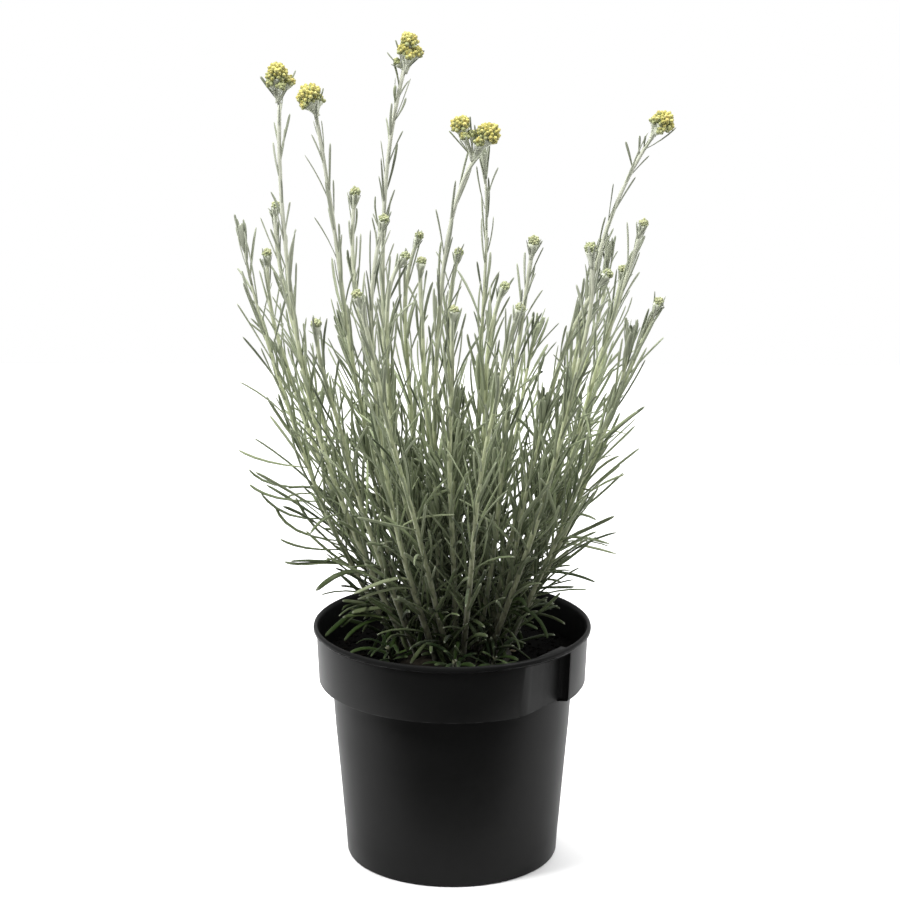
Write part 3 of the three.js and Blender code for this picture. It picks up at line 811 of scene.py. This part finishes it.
def placeLeaf(gathering, path, root, bend, tip, width, tone, shade):
    shape = shapes["blade"]
    share = shape.steps[:, None]
    root = path[np.linalg.norm(path - root, axis=1).argmin()]
    line = ((1 - share) ** 2 * root + 2 * share * (1 - share) * np.array(bend, float)
            + share ** 2 * np.array(tip, float))
    finish, side = tones[tone]
    sideways = np.cross(placedFace, np.gradient(line, axis=0))
    gathering.add(shape, bendAlong(shape, line, width, width, sideways), finish, shade,
                  np.sign(shape.points[:, 1]) if side is None else side, shape.points[:, 2])


def closeTip(gathering, path, draw, tone):
    # a leafy stem ends in broad young leaves that stand close together
    axis = unit(path[-1] - path[-20])
    first, second = across(axis)
    for number in range(tipHabit["count"]):
        outward = around(math.radians(number * goldenAngle + draw.uniform(*tipHabit["turn"])), first, second)
        root = path[-1] - axis * (tipHabit["below"] + number * tipHabit["step"]) + outward * tipHabit["out"]
        width = draw.uniform(*tipHabit["width"])
        growLeaf(gathering, "blade", root, axis, outward,
                 draw.uniform(*tipHabit["length"]) + number * tipHabit["longer"], width,
                 draw.uniform(*tipHabit["lean"]) + number, draw.uniform(*tipHabit["curl"]), 0,
                 draw.gauss(0, tipHabit["sway"]), draw.uniform(*tipHabit["twist"]), 0,
                 draw.uniform(*tone), width * tipHabit["thick"])


def layStem(gathering, stem, seed, strays, leafy, draw):
    shape = shapes["stem"]
    steps = shape.steps
    line = stemLine(stem, steps, strays)
    radius = np.interp(steps, stemShape["shares"], stemShape["leafyRadii" if leafy else "radii"])
    radius *= 1 + (stemShape["woollyFeet"].get(seed, 1) - 1) * np.clip(1 - steps * 2, 0, 1)
    radius *= [1 + stemShape["knobbly"] * noise.noise(Vector((seed * 3.1, step * 40, 0))) for step in steps]
    if not leafy:
        radius *= 1 + stemShape["flare"] * stem["size"] * np.clip(steps * 9 - 8, 0, 1)
    radius = radius[shape.ring]
    sideways = np.tile(np.array([1.0, 0, 0]), (len(line), 1))
    gathering.add(shape, bendAlong(shape, line, radius, radius, sideways), 1, draw.random(), 0,
                  shape.points[:, 2])


def growStem(name, node, stem, seed, tone=(0.0, 1.0)):
    draw = random.Random(seed)
    gathering = Gathering(name)
    strays = (draw.uniform(0, 6.3), draw.uniform(0, 6.3))
    leafy = stem["head"] == "none"
    layStem(gathering, stem, seed, strays, leafy, draw)
    fine = np.linspace(0, 1, 400)
    path = stemLine(stem, fine, strays)
    travelled = np.concatenate([[0], np.cumsum(np.linalg.norm(np.diff(path, axis=0), axis=1))])
    total = travelled[-1]
    walked = draw.uniform(*leafStray["firstAt"])
    turn = draw.uniform(0, 360)
    while walked < total - 1.0:
        at = int(float(np.interp(walked, travelled, fine)) * 398)
        root = path[at]
        axis = unit(path[at + 1] - root)
        outward = around(math.radians(turn), *across(axis))
        height = root[2]
        toTop = total - walked
        young = min(1.0, 0.45 + toTop / 45)
        length = habit("length", height) * draw.uniform(*leafStray["length"]) * young
        stray = leafStray["standLean"] if draw.random() < leafStray["standOut"] else 1.0
        lean = (habit("lean", height) * draw.uniform(*leafStray["lean"]) * stray
                * min(1.0, 0.5 + toTop / 30))
        width = habit("width", height) * draw.uniform(*leafStray["width"]) * (0.6 + 0.4 * young)
        if height > leafStray["curlHeight"]:
            curl = lean * draw.choice(leafStray["highCurl"])
        else:
            curl = lean * draw.uniform(*leafStray["lowCurl"])
        growLeaf(gathering, "needle", root + outward * stemShape["radii"][2] * 0.6, axis, outward, length,
                 width, lean * 0.75, curl, habit("droop", height) * draw.uniform(*leafStray["droop"]),
                 draw.gauss(0, leafStray["sway"]), draw.uniform(*leafStray["twist"]), 0,
                 draw.uniform(*tone))
        gap = habit("spacing", height) * draw.uniform(*leafStray["spacing"])
        if leafy and toTop < leafStray["closeTop"]:
            gap *= leafStray["closer"]
        walked += gap
        turn += goldenAngle + draw.uniform(*leafStray["turn"])
    if leafy:
        closeTip(gathering, path, draw, tone)
    for owner, *leaf in placedLeaves:
        if owner == seed:
            placeLeaf(gathering, path, *leaf)
    gathering.piece([leafFelt, stemFelt, basalLeaf, paleLeaf], node, "felted_green")


def feltedLeaf(name, brighter):
    look = Finish(name)
    height = look.height()
    felt = look.grain(2400, 2)
    patch = look.grain(160, 2)
    shade = look.attribute("shade")
    under = (0 - look.attribute("side")).spread(-0.2, 0.6)
    # painted shade: the top side's colours darken toward the foot, to near black low down, for the shade
    # under the canopy, over the lower leaves' own deeper green
    low = look.mix(shade, (0.010, 0.018, 0.005), (0.060, 0.085, 0.028))
    middle = look.mix(shade, (0.060, 0.080, 0.040), (0.300, 0.352, 0.195))
    high = look.mix(shade, (0.140, 0.157, 0.116), (0.385, 0.415, 0.310))
    top = look.mix(height.spread(0.12, 0.22), low, middle)
    top = look.mix(height.spread(0.20, 0.33), top, high)
    # the underside darkens toward the foot as well: painted shade over its own paler wool
    wool = look.mix(height.spread(0.12, 0.24), (0.100, 0.122, 0.058), (0.380, 0.425, 0.275))
    wool = look.mix(height.spread(0.23, 0.33), wool, (0.500, 0.525, 0.420))
    colour = look.mix(under * (0.45 + 0.55 * shade), top, wool)
    colour = look.mix(brighter, colour, (0.33, 0.37, 0.22))
    colour = look.mix(0.35, colour, look.mix(felt, (0.65, 0.65, 0.65), (1, 1, 1)), "MULTIPLY")
    colour = look.mix(patch.spread(0.5, 0.75) * 0.15, colour, (0.36, 0.40, 0.27))
    tipped = look.attribute("along").spread(0.93, 1.0) * 0.35
    colour = look.mix(tipped, colour, (0.45, 0.47, 0.38))
    return look.surface(BaseColor=colour, Roughness=0.72, SpecularIORLevel=0.3, SheenWeight=0.10,
                        SheenRoughness=0.45, Normal=look.bump(felt, 0.2, 0.06))


def feltedHead():                  # the pale wool under the flower heads, a little paler than the stems' felt: painted light on the undersides that the lamps leave dark
    look = Finish("headFelt")
    wool = look.grain(700, 3)
    colour = look.mix(wool, (0.50, 0.53, 0.40), (0.68, 0.70, 0.60))
    return look.surface(BaseColor=colour, Roughness=0.85, SpecularIORLevel=0.2, SheenWeight=0.3,
                        SheenRoughness=0.5, Normal=look.bump(wool, 0.05, 0.1))


def feltedStem():
    look = Finish("stemFelt")
    height = look.height()
    streak = look.grain(1500, 3, (1, 1, 0.14))
    felt = look.grain(2600, 2)
    woody = look.grain(420, 3, (1, 1, 0.4)).spread(0.42, 0.62)
    pale = look.mix(streak.spread(0.3, 0.7), (0.36, 0.41, 0.22), (0.57, 0.60, 0.39))
    pale = look.mix(height.spread(0.24, 0.34), pale, look.mix(streak, (0.46, 0.48, 0.38), (0.66, 0.67, 0.57)))
    old = look.mix(woody, (0.14, 0.145, 0.09), (0.06, 0.055, 0.035))
    colour = look.mix(height.spread(0.11, 0.22), old, pale)
    return look.surface(BaseColor=colour, Roughness=0.8, SpecularIORLevel=0.25, SheenWeight=0.3,
                        SheenRoughness=0.5, Normal=look.bump(streak + 0.5 * felt, 0.10, 0.06))


# Short inner shoots, which fill the middle of the plant between the long stems
innerShoots = {
    "count": 18,
    "footRing": (4, 24),
    "topHeight": (175, 245),
    "spreadOut": (0.9, 2.4),
    "bow": 0.82,
    "tone": (0.0, 0.55),           # painted shade: these leaves get darker tones for the shade of the others
}


def growInnerShoots():
    draw = random.Random(61)
    for number in range(innerShoots["count"]):
        angle = math.radians(number * goldenAngle + draw.uniform(-14, 14))
        foot = draw.uniform(*innerShoots["footRing"])
        out = foot * draw.uniform(*innerShoots["spreadOut"])
        height = draw.uniform(*innerShoots["topHeight"])
        toward = np.array([math.cos(angle), math.sin(angle)])
        bow = out * innerShoots["bow"]
        shoot = {
            "foot": tuple(toward * foot),
            "low": (*(toward * (foot + bow * 0.45)), stemShape["footHeight"] * 0.62 + height * 0.38),
            "high": (*(toward * (foot + bow * 0.95)), stemShape["footHeight"] * 0.30 + height * 0.70),
            "top": (*(toward * (foot + out)), height),
            "head": "none",
        }
        growStem(f"innerShoot{number + 1:02d}", None, shoot, 700 + number, innerShoots["tone"])
    print("inner shoots", innerShoots["count"])


# Heads. Each open one has the foot where its stem forks, and domes of flower buttons, each with its middle,
# its radius and how ripe it is
blooms = {
    1: {
        "foot": (-84.7, -12.0, 391.1),
        "domes": [
            ((-85.1, -13.0, 405.3), 4.9, 1.0),
            ((-79.0, -12.0, 401.3), 2.9, 0.9),
            ((-88.2, -15.0, 400.9), 2.1, 0.35),
            ((-83.1, -15.5, 399.6), 2.2, 0.25),
            ((-84.0, -7.0, 402.8), 3.3, 0.8),
        ],
    },
    2: {
        "foot": (-67.1, 14.0, 381.0),
        "domes": [
            ((-70.6, 13.5, 390.9), 5.5, 1.0),
            ((-73.0, 11.0, 386.8), 2.3, 0.6),
            ((-67.0, 18.0, 388.5), 3.2, 0.7),
        ],
    },
    3: {
        "foot": (-23.3, -6.0, 404.6),
        "domes": [
            ((-21.4, -6.0, 420.2), 4.2, 1.0),
            ((-24.3, -8.5, 416.2), 3.1, 0.9),
            ((-21.4, -9.5, 413.6), 2.8, 0.8),
            ((-17.9, -6.5, 414.7), 3.1, 0.9),
            ((-22.0, -2.0, 414.5), 3.2, 0.8),
            ((-27.1, -6.0, 410.2), 1.9, 0.3),
        ],
    },
    4: {
        "foot": (9.4, -34.0, 366.9),
        "domes": [
            ((3.6, -34.0, 383.6), 4.5, 1.0),
            ((5.3, -37.0, 378.4), 2.3, 0.4),
            ((8.7, -35.0, 379.5), 2.0, 0.2),
            ((16.6, -34.0, 379.1), 5.4, 1.0),
            ((12.2, -37.5, 375.9), 2.5, 0.6),
            ((12.5, -28.5, 377.5), 3.0, 0.7),
        ],
    },
    5: {
        "foot": (98.6, 26.0, 368.7),
        "domes": [
            ((104.6, 25.5, 376.7), 5.1, 1.0),
            ((100.2, 24.5, 377.5), 2.5, 0.5),
            ((103.0, 23.0, 372.9), 2.4, 0.5),
            ((102.0, 30.0, 375.0), 3.0, 0.6),
        ],
    },
}
dome = {
    "coreSmaller": 0.52,           # how far inside the dome's surface its core lies, in lengths of a button
    "buttonDeep": 0.44,            # how far a button's foot is sunk, in lengths of a button
    "uneven": (0.86, 1.14), "size": (0.86, 1.12),
    "lift": 0.30, "stray": 0.08,   # how much a button leans up, and any way
    "greenFrom": 62, "green": 0.6, # buttons further round than this, in degrees, are less ripe
}
head = {
    "swell": 1.10,                 # how much fuller than drawn the domes are
    "button": (2.35, 3.7),         # width and length of one flower button
    "cover": 122,                  # how far round a dome the buttons reach, in degrees from its top
    "close": 0.86,                 # room that a button takes, in squares of its width
    "limb": 0.30,                  # radius of a limb under a dome, in radii of the dome
    "ribs": 4, "rib": 0.60,        # felted feet of the lowest buttons, under domes larger than ribbed
    "ribbed": 2.6,
    "bractLength": (4.0, 7.0), "bractWidth": 0.95,
}
bud = {
    "radius": (2.35, 0.70),        # of the smallest dome, and what the greatest has more
    "button": (1.6, 2.5),
    "foot": 4.0, "rise": 4.9,      # from the stem's top down to the goblet's foot and up to the dome's middle
    "cover": 124, "close": 0.80,
    "bracts": 8, "bractWide": 0.50, "bractLong": (1.9, 2.7),
    "leaves": 2, "leafLong": (2.5, 4.2), "leafWide": (0.9, 1.3),
}


def stalkBetween(gathering, start, end, wide, shade):
    shape = shapes["stalk"]
    share = shape.steps[:, None]
    side, _ = across(unit(end - start))
    line = start + share * (end - start)
    width = np.full(len(shape.ring), wide)
    sideways = np.tile(side, (len(line), 1))
    gathering.add(shape, bendAlong(shape, line, width, width, sideways), 1, shade, 0, 0.5)


def setButton(gathering, at, ahead, wide, tall, turn, shade, ripe):
    shape = shapes["button"]
    side, other = across(ahead)
    outward = around(turn, side, other)
    points = (at + shape.points[:, :1] * wide * outward
              + shape.points[:, 1:2] * wide * np.cross(ahead, outward) + shape.points[:, 2:] * tall * ahead)
    gathering.add(shape, points, 0, shade, 0, shape.points[:, 2] * (0.45 + 0.55 * ripe))


def upright(name, foot, up, wide, tall):
    # the points of a round shape stood on its foot, pointing up
    points = shapes[name].points
    side, other = across(up)
    return foot + (points[:, :1] * side + points[:, 1:2] * other) * wide + points[:, 2:] * up * tall


def growDome(gathering, foot, centre, radius, ripe, kind, draw):
    # buttons set close over a dome, round a core that closes the gaps between them; the core's dark colour is
    # painted shade in those gaps
    up = unit(centre - foot)
    side, other = across(up)
    wide, tall = kind["button"]
    inner = max(radius - tall * dome["coreSmaller"], 0.3)
    core = upright("egg", centre - up * (inner + 0.9), up, inner + 0.4, 2 * inner + 1.6)
    # the core takes the dark colour of the buttons' feet: painted shade in the gaps between them
    gathering.add(shapes["egg"], core, 0, 0.0, 0, 0.2)
    reach = 1 - math.cos(math.radians(kind["cover"]))
    room = wide * wide * kind["close"] * 1.2
    count = max(5, round(2 * math.pi * radius * radius * reach / room))
    low = []
    for number in range(count):
        tilt = math.acos(1 - reach * (number + 0.5) / count)
        turn = number * math.radians(goldenAngle) + draw.uniform(-0.12, 0.12)
        ahead = around(tilt, up, around(turn, side, other))
        stray = np.array([draw.gauss(0, 1) for _ in range(3)])
        lean = unit(ahead + dome["lift"] * up + dome["stray"] * stray)
        size = draw.uniform(*dome["size"])
        at = centre + ahead * inner * draw.uniform(*dome["uneven"]) - lean * tall * dome["buttonDeep"]
        green = dome["green"] * max(0.0, math.degrees(tilt) - dome["greenFrom"]) / 50
        setButton(gathering, at, lean, wide * size, tall * size, draw.uniform(0, 6.3), draw.random(),
                  min(1.0, max(0.0, ripe - green + draw.uniform(-0.25, 0.2))))
        low.append(at)
    return low


def growBloom(number):
    draw = random.Random(300 + number)
    gathering = Gathering(f"flowerHead{number:02d}")
    foot = np.array(blooms[number]["foot"], float)
    for centre, radius, ripe in blooms[number]["domes"]:
        centre = np.array(centre, float)
        radius *= head["swell"]
        up = unit(centre - foot)
        base = centre - up * min(radius * 1.3 + 1.6, np.linalg.norm(centre - foot))
        stalkBetween(gathering, foot, base + up * 0.8, max(radius * head["limb"], 0.7), 0.7)
        cone = upright("cone", base, up, radius * 0.80, radius + 1.6)
        gathering.add(shapes["cone"], cone, 1, draw.uniform(0.4, 0.8), 0, 0.5)
        low = growDome(gathering, foot, centre, radius, ripe, head, draw)
        if radius > head["ribbed"]:
            for at in low[-head["ribs"]:]:
                stalkBetween(gathering, base + up * 0.5, at + up * 0.6, head["rib"], draw.random())
        outward = around(draw.uniform(0, 6.3), *across(up))
        growLeaf(gathering, "needle", base + up * draw.uniform(0, 1.5), up, outward,
                 draw.uniform(*head["bractLength"]), head["bractWidth"] * draw.uniform(0.8, 1.3),
                 draw.uniform(18, 40), draw.uniform(-30, 10), 0, draw.gauss(0, 0.15), 0, 2, draw.random())
    gathering.piece([buttonYellow, headFelt, leafFelt], f"flower_head_{number:02d}", "flower_yellow")


def growBud(number, stem):
    # a closed head: a felted goblet that the stem widens into, small green buttons and a few bracts
    draw = random.Random(500 + number)
    gathering = Gathering(f"budCluster{number:02d}")
    top = np.array(stem["top"], float)
    up = unit(top - np.array(stem["high"], float))
    side, other = across(up)
    size = np.clip((stem["size"] - 0.7) / 0.5, 0, 1.2)
    radius = bud["radius"][0] + bud["radius"][1] * size
    foot = top - up * bud["foot"]
    centre = top + up * (bud["rise"] + 0.4 * size)
    goblet = upright("goblet", foot, up, radius * 0.92, bud["foot"] + bud["rise"] - 0.6)
    gathering.add(shapes["goblet"], goblet, 1, 0.5, 0, 0.5)
    growDome(gathering, foot, centre, radius, 0.35 + 0.3 * draw.random(), bud, draw)
    for bract in range(bud["bracts"]):
        outward = around(bract * math.radians(goldenAngle) + draw.uniform(-0.3, 0.3), side, other)
        width = radius * bud["bractWide"] * draw.uniform(0.7, 1.2)
        root = foot + up * draw.uniform(1.5, 3.5) + outward * radius * 0.38
        growLeaf(gathering, "blade", root, up, outward, radius * draw.uniform(*bud["bractLong"]), width,
                 draw.uniform(14, 24), draw.uniform(-30, 6), 0, draw.gauss(0, 0.07), draw.uniform(-15, 15),
                 2, draw.random(), width * 0.4)
    for leaf in range(bud["leaves"]):
        outward = around(draw.uniform(0, 6.3), side, other)
        growLeaf(gathering, "needle", top - up * draw.uniform(1, 5), up, outward,
                 radius * draw.uniform(*bud["leafLong"]), draw.uniform(*bud["leafWide"]),
                 draw.uniform(20, 40), draw.uniform(-12, 12), 0, draw.gauss(0, 0.1), 0, 2, draw.random())
    gathering.piece([budGreen, headFelt, leafFelt], f"bud_cluster_{number:02d}", "bud_green")


def yellowButton():
    look = Finish("buttonYellow")
    along = look.attribute("along")
    shade = look.attribute("shade")
    speck = look.grain(1500, 2).spread(0.40, 0.65)
    patch = look.grain(420, 1).spread(0.5, 0.66)
    # the buttons' feet are darker: their own green scales, darkened as painted shade in the gaps between the
    # buttons
    scales = look.mix(along.spread(0.1, 0.5), (0.15, 0.16, 0.06), (0.33, 0.36, 0.17))
    ripe = look.mix(shade, (0.33, 0.30, 0.055), (0.56, 0.52, 0.16))
    ripe = look.mix(patch * 0.30, ripe, (0.56, 0.36, 0.12))
    colour = look.mix(along.spread(0.50, 0.78), scales, ripe)
    colour = look.mix(speck * 0.2, colour, (0.66, 0.63, 0.35))
    return look.surface(BaseColor=colour, Roughness=0.6, SpecularIORLevel=0.3, SheenWeight=0.1,
                        SheenRoughness=0.5, Normal=look.bump(speck, 0.25, 0.1))


def greenBud():
    look = Finish("budGreen")
    along = look.attribute("along")
    shade = look.attribute("shade")
    wool = look.grain(1700, 2)
    # the bud buttons darken toward their feet: painted shade in the gaps between them, over their own green
    base = look.mix(along.spread(0.1, 0.5), (0.13, 0.15, 0.07), (0.33, 0.37, 0.20))
    ripe = look.mix(shade, (0.30, 0.33, 0.18), (0.44, 0.44, 0.23))
    colour = look.mix(along.spread(0.35, 0.65), base, ripe)
    colour = look.mix(wool.spread(0.45, 0.7) * 0.3, colour, (0.52, 0.55, 0.40))
    return look.surface(BaseColor=colour, Roughness=0.75, SpecularIORLevel=0.25, SheenWeight=0.25,
                        SheenRoughness=0.5, Normal=look.bump(wool, 0.2, 0.08))


# Compost
compost = {
    "sides": 120,
    "height": 105,
    "topRadius": 66.2,
    "topRings": 22,
    "wallRings": [(66.0, 96.2), (59.4, 92.6), (52.6, 4.6), (50.4, 2.4)],
    "panel": (-63, -27), "behindPanel": 61.2,  # behind the pot's label panel it is narrower
    "rough": 1.3,
    "crumbs": 1900,
    "crumbSize": (0.7, 2.9),
    "chip": {"at": (31.0, 5.0), "size": (4.6, 3.2, 1.5), "up": 0.8},
}


def compostHeight(x, y):
    coarse = noise.noise(Vector((x * 0.06, y * 0.06, 3.0)))
    middle = noise.noise(Vector((x * 0.21, y * 0.21, 8.0)))
    fine = noise.noise(Vector((x * 0.7, y * 0.7, 1.0)))
    return compost["rough"] * (0.9 * coarse + 0.6 * middle + 0.35 * fine)


def modelCompost():
    rings = [(compost["topRadius"], compost["height"]), *compost["wallRings"]]
    body = startRing("compostBody", compost["sides"], *rings[0])
    growRings(rings)
    pick(body, "verts", lambda vert: abs(vert.co.z - compost["height"]) < 0.01)
    bpy.ops.mesh.select_mode(type="EDGE")
    count = compost["topRings"]
    growRings([(compost["topRadius"] * (1 - step / count), compost["height"]) for step in range(count)])
    closeEnds()
    release()
    for vert in body.data.vertices:
        if vert.co.z > compost["height"] - 0.01:
            vert.co.z += compostHeight(vert.co.x, vert.co.y)
        radius = radiusOf(vert.co)
        onTop = vert.co.z > compost["height"] - 6 and radius < 65
        limit = compost["behindPanel"] - 0.3 * onTop
        if compost["panel"][0] < angleOf(vert.co) < compost["panel"][1] and radius > limit:
            moveInOut(vert.co, limit / radius)
    return Shape(body)


def makeCompost():
    gathering = Gathering("compost")
    shape = modelCompost()
    gathering.add(shape, shape.points, 0, 0.2, 0, 0)
    draw = random.Random(17)
    crumb = shapes["crumb"]
    smallest, largest = compost["crumbSize"]
    for number in range(compost["crumbs"]):
        radius = (compost["topRadius"] - 2.5) * math.sqrt(draw.random())
        angle = draw.uniform(0, 2 * math.pi)
        x = radius * math.cos(angle)
        y = radius * math.sin(angle)
        size = smallest + (largest - smallest) * draw.random() ** 2.6
        stretch = Vector((draw.uniform(0.7, 1.6), draw.uniform(0.6, 1.1), draw.uniform(0.4, 0.9))) * size
        turn = Matrix.Rotation(draw.uniform(0, 6.3), 3, "Z") @ Matrix.Rotation(draw.gauss(0, 0.5), 3, "X")
        spot = np.array([x, y, compost["height"] + compostHeight(x, y) + size * 0.12])
        points = (crumb.points * np.array(stretch)) @ np.array(turn).T + spot
        gathering.add(crumb, points, 0, draw.random(), 0, 0)
    chip = compost["chip"]
    spot = np.array([*chip["at"], compost["height"] + compostHeight(*chip["at"]) + chip["up"]])
    gathering.add(crumb, crumb.points * np.array(chip["size"]) + spot, 1, 0.9, 0, 0)
    gathering.piece([compostSoil(), chipWood()], "compost", "compost")
    print("compost", compost["crumbs"], "crumbs")


def compostSoil():
    look = Finish("compostSoil")
    shade = look.attribute("shade")
    fine = look.grain(900, 4)
    # the compost's own dark colour, darkened further to near black as painted shade under the plant and
    # inside the pot
    colour = look.mix(shade ** 4.0, (0.0010, 0.0009, 0.0008), (0.006, 0.0045, 0.003))
    colour = look.mix(fine.spread(0.58, 0.8) * 0.3, colour, (0.007, 0.0055, 0.004))
    return look.surface(BaseColor=colour, Roughness=0.95, SpecularIORLevel=0.04,
                        Normal=look.bump(fine, 0.6, 0.5))


def chipWood():
    look = Finish("chipWood")
    streak = look.grain(700, 3, (1, 0.2, 1))
    colour = look.mix(streak, (0.10, 0.085, 0.05), (0.20, 0.17, 0.10))
    return look.surface(BaseColor=colour, Roughness=0.8, Normal=look.bump(streak, 0.4, 0.3))


# Woody crown
crown = {"radius": 30, "height": 104.2, "tall": 8.6, "sides": 40, "rings": 12,
         "roughAcross": 0.156, "roughUp": 1.17}


def makeCrown():
    rings = [(crown["radius"] * math.cos(angle), crown["height"] + crown["tall"] * math.sin(angle))
             for angle in np.linspace(0, math.pi * 0.47, crown["rings"])]
    piece = modelRings("woodyCrown", crown["sides"], rings)
    release()
    for vert in piece.data.vertices:
        lump = noise.noise(vert.co * 0.16) + 0.5 * noise.noise(vert.co * 0.5)
        moveInOut(vert.co, 1 + crown["roughAcross"] * lump)
        if vert.co.z > crown["height"] + 0.5:
            vert.co.z += crown["roughUp"] * lump
    finishWith(piece, ("SUBSURF", {"levels": 1, "render_levels": 1}))
    bpy.ops.object.shade_smooth()
    toFrame(piece)
    piece.data.materials.append(crownBark())
    standFor(piece, "woody_crown")
    print("crown", len(piece.data.polygons), "faces")


def crownBark():
    look = Finish("crownBark")
    grain = look.grain(500, 4, (1, 1, 0.4))
    colour = look.mix(grain, (0.006, 0.005, 0.004), (0.030, 0.025, 0.018))
    return look.surface(BaseColor=colour, Roughness=0.9, Normal=look.bump(grain, 0.6, 0.6))


# Basal shoots, broad-leaved, at the foot of the plant
basalShoots = [
    {"angle": 205, "distance": 33.5, "leaf": 30},
    {"angle": 272, "distance": 33.5, "leaf": 27},
    {"angle": 305, "distance": 34.5, "leaf": 26},
]
basalHabit = {
    "foot": 106.0, "rise": 9.0, "out": 3, "leaves": 15,
    "length": (0.45, 1.05), "width": (2.2, 3.2),
    "lean": 82, "leanLess": 55, "leanStray": (-18, 10),        # low leaves lie down, the top ones stand
    "curl": (-10, 40), "droop": (0.4, 1.3), "sway": 0.28, "twist": (-50, 50),
}


def growBasalShoots():
    for number, shoot in enumerate(basalShoots, 1):
        draw = random.Random(900 + number)
        gathering = Gathering(f"basalShoot{number}")
        angle = math.radians(shoot["angle"])
        toward = np.array([math.cos(angle), math.sin(angle), 0])
        foot = toward * shoot["distance"] + np.array([0, 0, basalHabit["foot"]])
        top = foot + toward * basalHabit["out"] + np.array([0, 0, basalHabit["rise"]])
        stalkBetween(gathering, foot - (0, 0, 1.5), top, 1.3, 0.4)
        axis = unit(top - foot)
        first, second = across(axis)
        for leaf in range(basalHabit["leaves"]):
            share = leaf / basalHabit["leaves"]
            outward = around(math.radians(leaf * goldenAngle + shoot["angle"]), first, second)
            growLeaf(gathering, "blade", foot + (top - foot) * share, axis, outward,
                     shoot["leaf"] * draw.uniform(*basalHabit["length"]) * (1 - 0.35 * share),
                     draw.uniform(*basalHabit["width"]) * (1 - 0.25 * share),
                     basalHabit["lean"] - basalHabit["leanLess"] * share
                     + draw.uniform(*basalHabit["leanStray"]),
                     draw.uniform(*basalHabit["curl"]), draw.uniform(*basalHabit["droop"]),
                     draw.gauss(0, basalHabit["sway"]), draw.uniform(*basalHabit["twist"]), 0,
                     draw.random() ** 1.6)
        gathering.piece([basalLeaf, stemFelt], f"basal_shoot_{number}", "basal_green")
    print("basal shoots", len(basalShoots))


def broadLeaf():
    look = Finish("basalLeaf")
    shade = look.attribute("shade")
    along = look.attribute("along")
    felt = look.grain(1800, 2)
    under = (0 - look.attribute("side")).spread(-0.2, 0.6)
    top = look.mix(shade, (0.007, 0.017, 0.0028), (0.034, 0.058, 0.013))
    top = look.mix(along.spread(0.8, 1.0) * 0.4, top, (0.09, 0.11, 0.06))
    colour = look.mix(under, top, (0.075, 0.090, 0.052))
    return look.surface(BaseColor=colour, Roughness=0.65, SpecularIORLevel=0.2, SheenWeight=0.05,
                        SheenRoughness=0.5, Normal=look.bump(felt, 0.3, 0.15))


# The whole plant
addCamera()
lightStudio()
addTable()
modelShapes()
leafFelt = feltedLeaf("leafFelt", 0.0)
paleLeaf = feltedLeaf("leafFeltPale", 0.55)
stemFelt = feltedStem()
basalLeaf = broadLeaf()
buttonYellow = yellowButton()
budGreen = greenBud()
headFelt = feltedHead()
makePot()
makeCompost()
makeCrown()
for stemNumber, stemData in enumerate(stems, 1):
    growStem(f"leafyStem{stemNumber:02d}", f"leafy_stem_{stemNumber:02d}", stemData, stemNumber)
    if stemData["head"] == "bloom":
        growBloom(stemNumber)
    elif stemData["head"] == "bud":
        growBud(stemNumber, stemData)
print("stems and heads", len(stems))
growBasalShoots()
growInnerShoots()
